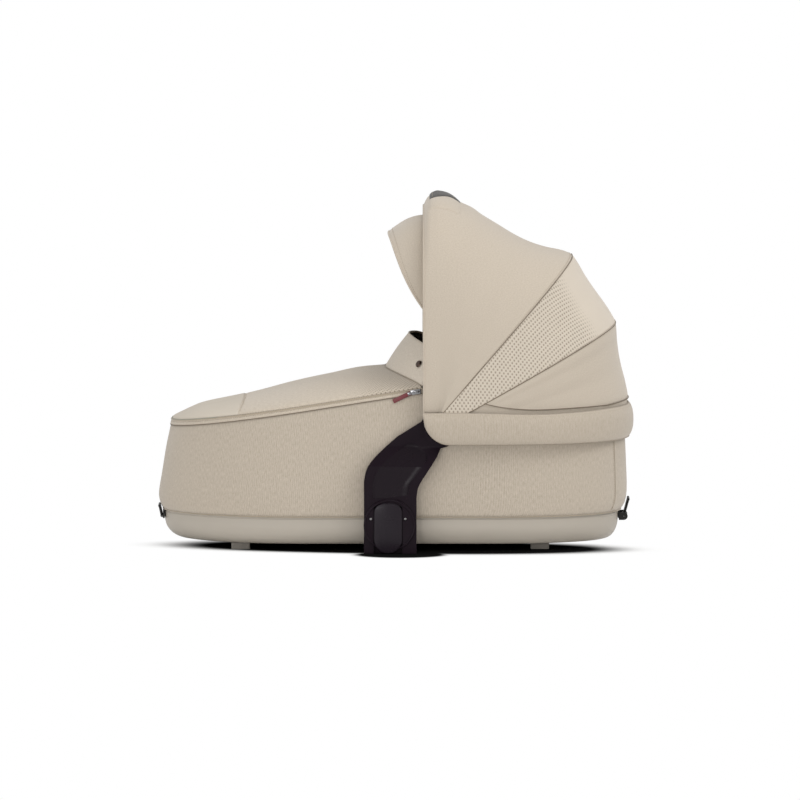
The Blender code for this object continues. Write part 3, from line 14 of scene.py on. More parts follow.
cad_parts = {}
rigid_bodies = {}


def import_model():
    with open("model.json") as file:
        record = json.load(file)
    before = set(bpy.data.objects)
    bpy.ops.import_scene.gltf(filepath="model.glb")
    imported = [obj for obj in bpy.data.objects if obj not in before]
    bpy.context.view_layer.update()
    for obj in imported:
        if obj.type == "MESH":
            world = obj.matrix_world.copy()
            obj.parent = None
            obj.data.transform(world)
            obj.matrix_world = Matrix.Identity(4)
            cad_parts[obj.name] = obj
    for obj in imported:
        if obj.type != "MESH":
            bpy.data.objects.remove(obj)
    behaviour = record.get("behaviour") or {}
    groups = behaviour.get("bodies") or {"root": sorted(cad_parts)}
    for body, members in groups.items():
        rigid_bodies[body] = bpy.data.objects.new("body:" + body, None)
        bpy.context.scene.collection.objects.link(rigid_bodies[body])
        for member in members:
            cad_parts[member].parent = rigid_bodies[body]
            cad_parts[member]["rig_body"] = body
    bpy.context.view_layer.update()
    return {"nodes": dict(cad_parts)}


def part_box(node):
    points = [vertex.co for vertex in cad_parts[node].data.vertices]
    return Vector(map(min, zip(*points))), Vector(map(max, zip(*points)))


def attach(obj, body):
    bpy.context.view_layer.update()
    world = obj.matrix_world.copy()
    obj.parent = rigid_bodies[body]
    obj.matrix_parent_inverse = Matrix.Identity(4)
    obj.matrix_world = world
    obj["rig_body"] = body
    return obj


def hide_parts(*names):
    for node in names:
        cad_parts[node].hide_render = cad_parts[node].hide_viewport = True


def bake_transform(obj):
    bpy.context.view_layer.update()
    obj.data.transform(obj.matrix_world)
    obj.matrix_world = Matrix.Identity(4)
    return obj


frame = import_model()
nodes = frame["nodes"]
scene = bpy.context.scene

# %% [markdown]
# ## Sizes
# A dressed model stays true when its sizes come from the model that it dresses. The ends, the width and the hub are
# read from the solids; the few slopes and heights that a box can't tell are named here once.

# %% Sizes read from the solids
wall_low, wall_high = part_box("outer_wall")
tray_low, tray_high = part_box("base_tray")
pin_low, pin_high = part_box("hub_pin_right")
band_box_low, band_box_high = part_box("hood_band")
SIDES = {"left": -1, "right": 1}
WALL_FOOT_X, WALL_HEAD_X, WALL_HALF = wall_low.x, wall_high.x, wall_high.y
TRAY_TOP, TRAY_BOTTOM = tray_high.z, tray_low.z
HUB_X, HUB_Z = (pin_low.x + pin_high.x) / 2, (pin_low.z + pin_high.z) / 2
PIN_END_Y = pin_high.y
STRAIGHT_HALF = 0.150
RIM_AT_HUB, RIM_PEAK_X, RIM_SLOPE, RIM_EASE, RIM_HEAD = 0.2746, 0.048, 0.157, 0.092, 0.240
WALL_LEAN = 0.021
WELD = 0.00002
print("hub at", round(HUB_X, 4), round(HUB_Z, 4), "half width", round(WALL_HALF, 4))

# %% [markdown]
# ## Nodes for finishes
# A finish is a small network of nodes. One function that adds a node, sets it and wires it keeps each finish as
# short as its recipe. Colours are written as the hex values that a picture editor shows, and turned to linear light
# in one place, because the shader works in linear light.


# %% Helpers for finishes
def linear(hex_colour, alpha=1.0):
    """The linear colour of an sRGB hex value."""
    shades = [int(hex_colour[start : start + 2], 16) / 255 for start in (1, 3, 5)]
    return tuple(s / 12.92 if s <= 0.04045 else ((s + 0.055) / 1.055) ** 2.4 for s in shades) + (alpha,)


def add_node(finish, kind, wires=None, **settings):
    """Adds one node: settings are its options, and wires its inputs, each a plain value or another node's output."""
    node = finish.node_tree.nodes.new(kind)
    for option, value in settings.items():
        setattr(node, option, value)
    for name, value in (wires or {}).items():
        if isinstance(value, bpy.types.NodeSocket):
            finish.node_tree.links.new(value, node.inputs[name])
        else:
            node.inputs[name].default_value = value
    return node


def start_finish(name, hex_colour, roughness, **sockets):
    """A new material and its Principled shader, with the sockets that stay the same all over the surface."""
    finish = bpy.data.materials.new(name)
    finish.use_nodes = True
    finish.diffuse_color = linear(hex_colour)
    shader = finish.node_tree.nodes["Principled BSDF"]
    shader.inputs["Base Color"].default_value = linear(hex_colour)
    shader.inputs["Roughness"].default_value = roughness
    for name_of_socket, value in sockets.items():
        shader.inputs[name_of_socket.replace("_", " ")].default_value = value
    return finish, shader


def wire(finish, output, shader, socket):
    """Joins an output to one of the shader's sockets."""
    finish.node_tree.links.new(output, shader.inputs[socket])


# %% [markdown]
# ## Cloth finishes
# The wall, the hood and the apron are a woven polyester melange: pale and darker yarns spun together, matt, with a
# soft bloom at grazing angles. The yarn is about half a millimetre thick, too fine to show at this distance, so its
# streaks are drawn a little coarser. Two noises make it, one drawn out along the warp and one even, and both
# follow the cloth's own UV map, which is in metres, so the pattern turns with the cut of each panel.

# %% Woven cloth
MM, RIB_SHARE = 0.001, 0.22


def woven_cloth(name, pale, dark, streak_mm, grain_mm, relief_mm, sheen=0.25, rib_mm=None):
    """Melange cloth: streaks along the warp, even grain, perhaps fine ribs, and a shallow relief from them."""
    finish, shader = start_finish(name, pale, 0.9, Sheen_Weight=sheen, Sheen_Roughness=0.5, Specular_IOR_Level=0.25)
    cloth = add_node(finish, "ShaderNodeUVMap", uv_map="cloth").outputs["UV"]
    drawn = add_node(
        finish,
        "ShaderNodeMapping",
        {"Vector": cloth, "Scale": (1 / (streak_mm[0] * MM), 1 / (streak_mm[1] * MM), 1.0)},
    )
    streak = add_node(
        finish, "ShaderNodeTexNoise", {"Vector": drawn.outputs["Vector"], "Scale": 1.0, "Detail": 2.0}
    ).outputs["Fac"]
    grain = add_node(
        finish, "ShaderNodeTexNoise", {"Vector": cloth, "Scale": 1 / (grain_mm * MM), "Detail": 3.0}
    ).outputs["Fac"]
    both = add_node(finish, "ShaderNodeMath", {0: streak, 1: grain}, operation="ADD").outputs[0]
    if rib_mm:
        wave = {
            "Vector": cloth,
            "Scale": math.pi / 10 / (rib_mm * MM),
            "Distortion": 1.2,
            "Detail": 1.0,
            "Detail Scale": 30.0,
        }
        ribs = add_node(finish, "ShaderNodeTexWave", wave, bands_direction="X").outputs["Fac"]
        ribbed = add_node(finish, "ShaderNodeMath", {0: ribs, 1: RIB_SHARE, 2: both}, operation="MULTIPLY_ADD")
        both = add_node(
            finish, "ShaderNodeMath", {0: ribbed.outputs[0], 1: RIB_SHARE / 2}, operation="SUBTRACT"
        ).outputs[0]
    share = add_node(
        finish, "ShaderNodeMapRange", {"Value": both, "From Min": 0.62, "From Max": 1.38, "To Min": 0.0, "To Max": 1.0}
    ).outputs["Result"]
    colour = add_node(
        finish, "ShaderNodeMix", {0: share, 6: linear(dark), 7: linear(pale)}, data_type="RGBA"
    )
    relief = add_node(finish, "ShaderNodeBump", {"Height": both, "Distance": relief_mm * MM, "Strength": 0.8})
    wire(finish, colour.outputs[2], shader, "Base Color")
    wire(finish, relief.outputs["Normal"], shader, "Normal")
    return finish


WALL_CLOTH = woven_cloth("woven_wall_cloth", "#C5BAAB", "#A79B8B", (1.9, 9.0), 1.3, 0.35, rib_mm=3.0)
APRON_CLOTH = woven_cloth("woven_apron_cloth", "#CDC2B2", "#B3A695", (2.4, 5.0), 2.0, 0.30)
# The flap's finish is the apron's cloth painted lighter: painted light for a face turned from the key lamp
FLAP_CLOTH_PAINTED_LIGHTER = woven_cloth("apron_cloth_painted_lighter_on_flap", "#D8CEBF", "#C4B8A8", (2.4, 5.0), 1.6, 0.25)
HOOD_CLOTH = woven_cloth("woven_hood_cloth", "#C4B9AA", "#B4A898", (2.0, 3.5), 1.8, 0.18)
BAND_CLOTH = woven_cloth("woven_band_cloth", "#BBB0A1", "#A99D8D", (2.6, 7.0), 1.2, 0.20, rib_mm=3.2)
PIPING = woven_cloth("piping_tape", "#959485", "#7F7E70", (1.2, 3.0), 1.4, 0.15)
BINDING = woven_cloth("folded_binding_tape", "#B2A592", "#9A8E7C", (1.2, 3.0), 1.4, 0.15)
LINING = woven_cloth("black_lining_cloth", "#202022", "#141416", (1.5, 4.0), 1.6, 0.2, sheen=0.1)
COTTON = woven_cloth("brushed_cotton", "#EDE8DE", "#DDD6C9", (1.6, 3.0), 1.8, 0.2)
print("cloths made")

# %% [markdown]
# ## Knitted lozenges
# The middle panel of the hood is a spacer knit: rows of small raised lozenges with sunken gaps between them let air
# through. Two crossing waves, multiplied, are such a pattern. They follow a UV map of their own, in metres, so each
# lozenge keeps its size where the panel narrows to the hub, and the pattern gives both the relief and a painted shade
# in the gaps.
# Over the crown the knit is closed, so an attribute fades the lozenges out there.

# %% Knitted mesh finish
LOZENGE_LONG, LOZENGE_HIGH = 0.0036, 0.0052


def knitted_mesh(name, pale, dark, grain_mm):
    """Spacer knit: lozenges in relief with painted shade in the gaps between them, and a fine yarn grain."""
    finish, shader = start_finish(name, pale, 0.92, Sheen_Weight=0.2, Sheen_Roughness=0.5, Specular_IOR_Level=0.2)
    lattice = add_node(finish, "ShaderNodeUVMap", uv_map="knit").outputs["UV"]
    split = add_node(finish, "ShaderNodeSeparateXYZ", {"Vector": lattice})
    waves = []
    for axis, pitch in (("X", LOZENGE_LONG), ("Y", LOZENGE_HIGH)):
        turn = add_node(finish, "ShaderNodeMath", {0: split.outputs[axis], 1: math.pi / pitch}, operation="MULTIPLY")
        waves.append(add_node(finish, "ShaderNodeMath", {0: turn.outputs[0]}, operation="COSINE").outputs[0])
    height = add_node(finish, "ShaderNodeMath", {0: waves[0], 1: waves[1]}, operation="MULTIPLY").outputs[0]
    cloth = add_node(finish, "ShaderNodeUVMap", uv_map="cloth").outputs["UV"]
    grain = add_node(
        finish, "ShaderNodeTexNoise", {"Vector": cloth, "Scale": 1 / (grain_mm * MM), "Detail": 2.0}
    ).outputs["Fac"]
    open_share = add_node(finish, "ShaderNodeAttribute", attribute_name="open").outputs["Fac"]
    height = add_node(finish, "ShaderNodeMath", {0: height, 1: open_share}, operation="MULTIPLY").outputs[0]
    # Painted shade: the colour turns towards the dark one in the gaps between the lozenges
    gap_painted_shade = add_node(
        finish, "ShaderNodeMapRange", {"Value": height, "From Min": -0.05, "From Max": -0.75}
    ).outputs["Result"]
    colour = add_node(
        finish, "ShaderNodeMix", {0: gap_painted_shade, 6: linear(pale), 7: linear(dark)}, data_type="RGBA"
    )
    surface = add_node(
        finish, "ShaderNodeMath", {0: grain, 1: 0.25, 2: height}, operation="MULTIPLY_ADD"
    ).outputs[0]
    relief = add_node(finish, "ShaderNodeBump", {"Height": surface, "Distance": 0.5 * MM, "Strength": 0.8})
    wire(finish, colour.outputs[2], shader, "Base Color")
    wire(finish, relief.outputs["Normal"], shader, "Normal")
    return finish


# The darker colour is the painted shade in the gaps between the lozenges
KNIT = knitted_mesh("spacer_knit_with_painted_shade", "#CABFB0", "#9A8F80", 1.4)

# %% [markdown]
# ## Moulded, leather and metal finishes
# The tray is a polypropylene moulding with a fine spark-eroded grain, which breaks the highlight up. The side arms
# are glass-filled nylon in a very dark plum, a little glossier. The toe patch, the handle and the grip are coated
# leather-look cloth: a pebble grain from a Voronoi pattern, with creases between the pebbles.

# %% Grained surfaces


def grained(name, hex_colour, roughness, cell_mm, relief_mm, worn=0.06, pebbles=False, **sockets):
    """A moulded or leather surface: a cell grain in relief and a slightly uneven gloss."""
    finish, shader = start_finish(name, hex_colour, roughness, **sockets)
    place = add_node(finish, "ShaderNodeTexCoord").outputs["Object"]
    kind = "ShaderNodeTexVoronoi" if pebbles else "ShaderNodeTexNoise"
    grain = add_node(finish, kind, {"Vector": place, "Scale": 1 / (cell_mm * MM)})
    height = grain.outputs["Distance" if pebbles else "Fac"]
    patches = add_node(finish, "ShaderNodeTexNoise", {"Vector": place, "Scale": 22.0, "Detail": 3.0}).outputs["Fac"]
    gloss = add_node(
        finish,
        "ShaderNodeMapRange",
        {"Value": patches, "From Min": 0.3, "From Max": 0.7, "To Min": roughness - worn, "To Max": roughness + worn},
    )
    relief = add_node(finish, "ShaderNodeBump", {"Height": height, "Distance": relief_mm * MM, "Strength": 0.6})
    wire(finish, gloss.outputs["Result"], shader, "Roughness")
    wire(finish, relief.outputs["Normal"], shader, "Normal")
    return finish


SHELL = grained("moulded_polypropylene", "#AEA69A", 0.52, 0.9, 0.05)
ARM = grained("moulded_nylon", "#170D15", 0.34, 0.8, 0.03, Specular_IOR_Level=0.10)
ARM_INSET = grained("moulded_nylon_satin", "#1C151C", 0.30, 0.8, 0.02, Specular_IOR_Level=0.20)
ARM_GLOSS = grained("moulded_nylon_gloss", "#160D14", 0.27, 0.8, 0.01, worn=0.03, Specular_IOR_Level=0.15)
CATCH = grained("moulded_catch", "#171514", 0.42, 0.8, 0.04, Specular_IOR_Level=0.3)
PATCH = grained("coated_patch", "#C9BFB0", 0.55, 1.1, 0.08, pebbles=True)
GRIP = grained("stitched_grip", "#4B4947", 0.5, 1.2, 0.12, pebbles=True)
BURGUNDY = grained("burgundy_leather", "#6E2A2F", 0.42, 1.0, 0.08, pebbles=True)
RUBBER = grained("moulded_rubber", "#7A756E", 0.75, 0.7, 0.05)
ZINC = grained("polished_zinc", "#8C8C8E", 0.24, 0.6, 0.01, worn=0.04, Metallic=1.0)
STEEL = grained("plated_steel", "#8E8D8C", 0.36, 0.6, 0.01, worn=0.05, Metallic=1.0)
BRONZE = grained("dark_bronze_plate", "#5A4A42", 0.30, 0.6, 0.01, worn=0.05, Metallic=1.0)
NYLON_ZIP = grained("zip_coil", "#8F8474", 0.45, 0.5, 0.03)
BOARD = grained("pressed_board", "#9B8A70", 0.8, 1.5, 0.1)
THREAD = grained("sewing_thread", "#A99C89", 0.7, 0.4, 0.03)
# Dark thread; on the hood's hems this finish also paints the shade line under each hem
DARK_THREAD_AND_HEM_SHADE = grained("dark_thread_and_hem_shade", "#7A6E5F", 0.7, 0.4, 0.03)
print("finishes:", len(bpy.data.materials))

# %% [markdown]
# ## From a grid to a piece of cloth
# A cut panel starts flat, and so does a mesh grid. `lay_sheet` makes a grid with a bmesh operator, gives it a UV map
# in metres while it is still flat, and then lays each vertex on the surface that the panel takes on the cot. That
# keeps the weave at its true scale on every panel. A Solidify modifier gives the cloth its thickness.


# %% Helpers for pieces
def lay_sheet(columns, rows, place, size, wrap=False):
    """A grid of quads laid on a surface: place(across, along) gives a point, both from 0 to 1."""
    sheet = bmesh.new()
    bmesh.ops.create_grid(sheet, x_segments=columns, y_segments=rows, size=0.5)
    cloth = sheet.loops.layers.uv.new("cloth")
    for face in sheet.faces:
        for loop in face.loops:
            loop[cloth].uv = ((loop.vert.co.x + 0.5) * size[0], (loop.vert.co.y + 0.5) * size[1])
    for vertex in sheet.verts:
        vertex.co = place(vertex.co.x + 0.5, vertex.co.y + 0.5)
    if wrap:
        bmesh.ops.remove_doubles(sheet, verts=sheet.verts, dist=WELD)
    return sheet


def face_out(shape, inside):
    """Turns the faces of a shape away from a point inside it."""
    bmesh.ops.recalc_face_normals(shape, faces=shape.faces)
    middle = Vector(inside)
    if sum((face.calc_center_median() - middle).dot(face.normal) * face.calc_area() for face in shape.faces) < 0:
        bmesh.ops.reverse_faces(shape, faces=shape.faces)
    return shape


def make_piece(name, shape, finish, sharp=40):
    """Turns a bmesh into a finished object at the origin."""
    mesh = bpy.data.meshes.new(name)
    shape.to_mesh(mesh)
    shape.free()
    mesh.materials.append(finish)
    mesh.shade_smooth()
    mesh.set_sharp_from_angle(angle=math.radians(sharp))
    piece = bpy.data.objects.new(name, mesh)
    scene.collection.objects.link(piece)
    return piece


def thicken(piece, thickness):
    """Gives a sheet its thickness, inwards from the laid side."""
    step = piece.modifiers.new("thickness", "SOLIDIFY")
    step.thickness = thickness
    step.offset = -1.0
    return piece


def cut_sheet(piece):
    """Reads the width and length of a sheet's flat cut from its UV map in metres, and returns the sheet."""
    cloth = piece.data.uv_layers["cloth"].data
    width = max(corner.uv[0] for corner in cloth)
    length = max(corner.uv[1] for corner in cloth)
    return piece


def lay_cord(path, radius, sides=8):
    """A cord along a path: one circle, extruded from point to point and turned with the path."""
    points = [Vector(point) for point in path]
    last = len(points) - 1
    ways = [(points[min(n + 1, last)] - points[max(n - 1, 0)]).normalized() for n in range(last + 1)]
    turn = ways[0].to_track_quat("Z", "X")
    stand = Matrix.Translation(points[0]) @ turn.to_matrix().to_4x4()
    cord = bmesh.new()
    bmesh.ops.create_circle(cord, cap_ends=True, radius=radius, segments=sides, matrix=stand)
    ring = cord.edges[:]
    for point, way, before in zip(points[1:], ways[1:], ways):
        made = bmesh.ops.extrude_edge_only(cord, edges=ring)["geom"]
        ends = {item for item in made if isinstance(item, bmesh.types.BMVert)}
        ring = [item for item in made if isinstance(item, bmesh.types.BMEdge) and set(item.verts) <= ends]
        turn = before.rotation_difference(way) @ turn
        following = Matrix.Translation(point) @ turn.to_matrix().to_4x4()
        bmesh.ops.transform(cord, matrix=following @ stand.inverted(), verts=list(ends))
        stand = following
    bmesh.ops.contextual_create(cord, geom=ring)
    bmesh.ops.recalc_face_normals(cord, faces=cord.faces)
    return cord


def spaced(path, pitch):
    """Points at even distances along a path, each with its direction."""
    points = [Vector(point) for point in path]
    due = pitch / 2
    for start, end in zip(points, points[1:]):
        step = end - start
        while due < step.length:
            yield start + step * (due / step.length), step.normalized()
            due += pitch
        due -= step.length


# Pitch, length and radius of the stitches beside a seam
STITCH = (0.0042, 0.0030, 0.0004)


def run_stitches(path, pitch, length, radius):
    """A row of stitches: each one a small stretched ball that lies along the path."""
    row = bmesh.new()
    for point, way in spaced(path, pitch):
        size = Matrix.Diagonal((length / 2, radius, radius, 1.0))
        turn = way.to_track_quat("X", "Z").to_matrix().to_4x4()
        bmesh.ops.create_icosphere(row, subdivisions=1, radius=1.0, matrix=Matrix.Translation(point) @ turn @ size)
    return row


def read_shares(table, place, column):
    """Reads a table of shares at a place, on a smooth curve through its rows."""
    for number in range(len(table) - 1):
        low, high = table[number], table[number + 1]
        if place <= high[0] or number == len(table) - 2:
            break
    before, after = table[max(0, number - 1)], table[min(len(table) - 1, number + 2)]
    span = high[0] - low[0]
    part = min(1.0, max(0.0, (place - low[0]) / span))
    rise_in = (high[column] - before[column]) / (high[0] - before[0]) * span
    rise_out = (after[column] - low[column]) / (after[0] - low[0]) * span
    square, cube = part * part, part**3
    start_share = 2 * cube - 3 * square + 1
    end_share = 3 * square - 2 * cube
    bend = (cube - 2 * square + part) * rise_in + (cube - square) * rise_out
    return start_share * low[column] + end_share * high[column] + bend


def eased(part):
    """Smooth step from 0 to 1."""
    part = min(1.0, max(0.0, part))
    return part * part * (3 - 2 * part)


def ripple(x, y, z, size, seed=0.0):
    """A smooth random value from -1 to 1 that changes over a given size in metres."""
    return noise.noise(Vector((x / size + seed, y / size - seed, z / size + seed)))


# %% [markdown]
# ## The cot's plan
# From above, the cot has straight sides and elliptical ends. Every ring of the wall, the tray, the zip band and the
# liner is this one outline at its own width, so one function gives them all.


# %% Outline and heights
HEAD_FULLNESS = 2.4


def quarter(reach, half):
    """Length of a quarter of an ellipse."""
    return math.pi / 2 * math.sqrt((reach * reach + half * half) / 2)


def head_corner(angle, reach, half):
    """A point of the head end, which is a little squarer than an ellipse: (past the straight side, across)."""
    share = 2 / HEAD_FULLNESS
    return STRAIGHT_HALF + reach * math.cos(angle) ** share, half * math.sin(angle) ** share


def outline(share, foot_x, head_x, half):
    """A point of the plan: share runs from 0 to 1 from the middle of the head end, round by +Y and the foot end."""
    head, foot = head_x - STRAIGHT_HALF, -foot_x - STRAIGHT_HALF
    head_arc, foot_arc, side = quarter(head, half), quarter(foot, half), 2 * STRAIGHT_HALF
    walked = (share % 1.0) * 2 * (head_arc + foot_arc + side)
    sign = 1
    if walked > head_arc + side + foot_arc:
        walked = 2 * (head_arc + foot_arc + side) - walked
        sign = -1
    if walked < head_arc:
        x, y = head_corner(math.pi / 2 * walked / head_arc, head, half)
        return x, sign * y
    if walked < head_arc + side:
        return STRAIGHT_HALF - (walked - head_arc), sign * half
    angle = math.pi / 2 * (walked - head_arc - side) / foot_arc
    return -STRAIGHT_HALF - foot * math.sin(angle), sign * half * math.cos(angle)


def rim_height(x):
    """Height of the wall's top edge, which climbs to the hub and eases down under the hood."""
    if x <= RIM_PEAK_X:
        return RIM_AT_HUB + RIM_SLOPE * (x - RIM_PEAK_X)
    return RIM_AT_HUB + (RIM_HEAD - RIM_AT_HUB) * eased((x - RIM_PEAK_X) / RIM_EASE)


WALL_ROUND = 2 * (quarter(WALL_HEAD_X - STRAIGHT_HALF, WALL_HALF) + quarter(-WALL_FOOT_X - STRAIGHT_HALF, WALL_HALF))
WALL_ROUND += 4 * STRAIGHT_HALF
print("round the wall:", round(WALL_ROUND, 3), "m")

# %% [markdown]
# ## The moulded tray
# The tray is an injection moulding with a generous radius round its bottom edge and a small lip at the top, on which
# the wall's hem sits. Its solid has a coarse arc, which a highlight would show, so a finer one is laid on the same
# outline: a grid that runs round the plan and up the profile. Its notches for the arms are cut by Boolean.

# %% Tray
TRAY_FILLET, TRAY_WALL, TRAY_LIP = 0.034, 0.003, 0.0012
TRAY_ROUND_STEPS, TRAY_UP_STEPS, HEAD_FILLET_SHARE = 224, 40, 0.6
# Shares of the way up the profile at which the flat, the round edge and the side end; the lip is the rest
FLAT_END, ROUND_END, SIDE_END = 0.2, 0.55, 0.86
FLAT_WIDTH, GROOVE_AT, GROOVE_SPREAD = 0.05, 0.80, 0.05
# How soon the lip is across the wall, from where it turns down, and how far
LIP_PACE, LIP_TURN, LIP_DROP = 1.6, 0.45, 0.012
# Start and end of an arm's foot along X, from the start of the arm
ARM_FOOT = (0.003, 0.0873)


def tray_profile(share):
    """(inset, height) of the tray from the middle of its bottom to the inside of its rim."""
    if share < FLAT_END:
        return TRAY_FILLET + (1 - share / FLAT_END) * FLAT_WIDTH, TRAY_BOTTOM
    if share < ROUND_END:
        angle = math.pi / 2 * (share - FLAT_END) / (ROUND_END - FLAT_END)
        return TRAY_FILLET * (1 - math.sin(angle)), TRAY_BOTTOM + TRAY_FILLET * (1 - math.cos(angle))
    if share < SIDE_END:
        up = (share - ROUND_END) / (SIDE_END - ROUND_END)
        low = TRAY_BOTTOM + TRAY_FILLET
        groove = TRAY_LIP * math.exp(-(((up - GROOVE_AT) / GROOVE_SPREAD) ** 2))
        return groove, low + (TRAY_TOP - low) * up
    over = (share - SIDE_END) / (1 - SIDE_END)
    return TRAY_WALL * eased(over * LIP_PACE), TRAY_TOP - LIP_DROP * max(0.0, over - LIP_TURN)


def tray_point(across, along):
    """A point on the tray, across round the plan and along up the profile."""
    inset, z = tray_profile(along)
    x, y = outline(across, tray_low.x + inset, tray_high.x - inset * HEAD_FILLET_SHARE, tray_high.y - inset)
    return x, y, z


def cut_away(piece, low, high):
    """Cuts a box out of a piece with a Boolean, applied at once."""
    tool = bmesh.new()
    size = Vector(high) - Vector(low)
    middle = (Vector(low) + Vector(high)) / 2
    bmesh.ops.create_cube(tool, size=1.0, matrix=Matrix.Translation(middle) @ Matrix.Diagonal((*size, 1.0)))
    mesh = bpy.data.meshes.new("tool")
    tool.to_mesh(mesh)
    tool.free()
    block = bpy.data.objects.new("tool", mesh)
    scene.collection.objects.link(block)
    step = piece.modifiers.new("cut", "BOOLEAN")
    step.operation, step.solver, step.object = "DIFFERENCE", "MANIFOLD", block
    bake_modifiers(piece)
    bpy.data.objects.remove(block)
    bpy.data.meshes.remove(mesh)


def bake_modifiers(piece):
    """Applies a piece's modifiers to its mesh."""
    graph = bpy.context.evaluated_depsgraph_get()
    made = bpy.data.meshes.new_from_object(piece.evaluated_get(graph), preserve_all_data_layers=True, depsgraph=graph)
    piece.modifiers.clear()
    piece.data = made


tray_shape = lay_sheet(TRAY_ROUND_STEPS, TRAY_UP_STEPS, tray_point, (WALL_ROUND, 0.12), wrap=True)
bottom = [edge for edge in tray_shape.edges if edge.is_boundary and edge.verts[0].co.z < TRAY_BOTTOM + WELD]
bmesh.ops.contextual_create(tray_shape, geom=bottom)
tray = make_piece("tray_moulding", face_out(tray_shape, (0, 0, TRAY_TOP)), SHELL)
thicken(tray, TRAY_WALL * 0.8)
bake_modifiers(tray)
ARM_MARGIN = 0.0006
for word, side in SIDES.items():
    arm_low, arm_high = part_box(f"side_arm_{word}")
    foot_edge, head_edge = arm_low.x + ARM_FOOT[0] - ARM_MARGIN, arm_low.x + ARM_FOOT[1] + ARM_MARGIN
    ends = sorted((side * (min(abs(arm_low.y), abs(arm_high.y)) - ARM_MARGIN), side * (tray_high.y + 0.01)))
    cut_away(tray, (foot_edge, ends[0], -0.01), (head_edge, ends[1], TRAY_TOP + 0.01))
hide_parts("base_tray")
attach(tray, "cot")
print("tray faces:", len(tray.data.polygons))

# %% [markdown]
# ## The outer wall
# The wall is a sewn cloth sleeve, stretched between the tray and the rim tube. It leans in at the foot end, stands
# nearly upright at the head, and has one seam near each corner of the head end. Cloth under light tension shows
# long shallow waves, not folds, so a smooth noise of half a millimetre is enough.

# %% Outer wall
WALL_ROWS, WALL_COLUMNS, WALL_CLOTH_THICKNESS = 30, 260, 0.0022
# Share of the height, then the shares of the lean at the foot end, the head end and the sides
WALL_LEAN_SHARES = (
    (0.00, 0.36, 0.52, 0.17),
    (0.06, 0.14, 0.20, 0.08),
    (0.18, 0.00, 0.02, 0.00),
    (0.45, 0.28, 0.08, 0.00),
    (0.75, 0.62, 0.20, 0.00),
    (1.00, 1.00, 0.33, 0.00),
)
WAVE_DEPTH, WAVE_SIZE = 0.0006, 0.09


def wall_point(across, along, proud=0.0):
    """A point on the wall: across round the plan, along from the tray to the rim."""
    leans = [WALL_LEAN * read_shares(WALL_LEAN_SHARES, along, column) for column in (1, 2, 3)]
    inset = WAVE_DEPTH - proud
    foot, head, half = WALL_FOOT_X + leans[0] + inset, WALL_HEAD_X - leans[1] - inset, WALL_HALF - leans[2] - inset
    x, y = outline(across, foot, head, half)
    low = TRAY_TOP + 0.0003
    z = low + along * (rim_height(x) - low)
    wave = WAVE_DEPTH * ripple(x, y, z * 0.4, WAVE_SIZE) * math.sin(math.pi * along)
    away = Vector((x, y, 0.0)).normalized()
    return x + away.x * wave, y + away.y * wave, z


wall_shape = lay_sheet(WALL_COLUMNS, WALL_ROWS, wall_point, (WALL_ROUND, 0.21), wrap=True)
wall = make_piece("wall_sleeve", face_out(wall_shape, (0, 0, 0.15)), WALL_CLOTH)
cut_sheet(thicken(wall, WALL_CLOTH_THICKNESS))
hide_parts("outer_wall")
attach(wall, "cot")

SEAM_SHARE, SEAM_TO_ROW = 0.050, 0.0022
for word, side in SIDES.items():
    seam_path = [wall_point(side * SEAM_SHARE, step / 40, 0.0004) for step in range(1, 40)]
    seam = make_piece(f"wall_seam_{word}", lay_cord(seam_path, 0.0007, 6), WALL_CLOTH)
    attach(seam, "cot")
    beside = [wall_point(side * (SEAM_SHARE + SEAM_TO_ROW), step / 40, 0.0004) for step in range(1, 40)]
    row = run_stitches(beside, 0.004, 0.0028, 0.0004)
    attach(make_piece(f"wall_seam_stitches_{word}", row, THREAD), "cot")
rim_path = [wall_point(step / 200, 1.0, 0.0006) for step in range(201)]
rim_piping = make_piece("rim_piping", lay_cord(rim_path, 0.0009, 6), DARK_THREAD_AND_HEM_SHADE)
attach(rim_piping, "cot")
hem_path = [wall_point(step / 200, 0.0, 0.0002) for step in range(201)]
hem_piping = make_piece("hem_piping", lay_cord(hem_path, 0.0009, 6), BINDING)
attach(hem_piping, "cot")
print("wall cut:", round(WALL_ROUND, 2), "by 0.21 m")

# %% [markdown]
# ## Zip band, coil and sliders
# A band of the same cloth stands on the rim. It holds the zip that closes the apron, so it has a pressed edge two
# thirds of the way up and a nylon coil along its top. The coil is a cord with a bead at each turn.

# %% Zip band and coil
ZIP_FOOT_HEIGHT, ZIP_HUB_HEIGHT, ZIP_LEAN = 0.0090, 0.0078, 0.0015
APRON_FRONT_X, APRON_REAR_X = -0.385, -0.010
ZIP_COLUMNS, ZIP_ROWS = 280, 18
BAND_PLAN_FOOT = WALL_FOOT_X + WALL_LEAN
COIL_PITCH, COIL_BEAD = 0.0030, 0.0011


def zip_height(x):
    """Height of the zip band, taller at the foot end."""
    part = (x - APRON_FRONT_X) / (RIM_PEAK_X - APRON_FRONT_X)
    return ZIP_FOOT_HEIGHT + (ZIP_HUB_HEIGHT - ZIP_FOOT_HEIGHT) * min(1.0, max(0.0, part))


def round_foot(across, inset, end_x=RIM_PEAK_X):
    """A point of the open outline round the foot end, from the -Y side at end_x to the +Y side."""
    half, foot = WALL_HALF - inset, -(BAND_PLAN_FOOT + inset) - STRAIGHT_HALF
    side, arc = STRAIGHT_HALF + end_x, quarter(foot, half)
    walked = (across - 0.5) * 2 * (side + arc)
    sign = 1 if walked > 0 else -1
    walked = abs(walked)
    if walked < arc:
        angle = math.pi / 2 * walked / arc
        return -STRAIGHT_HALF - foot * math.cos(angle), sign * half * math.sin(angle)
    return -STRAIGHT_HALF + walked - arc, sign * half


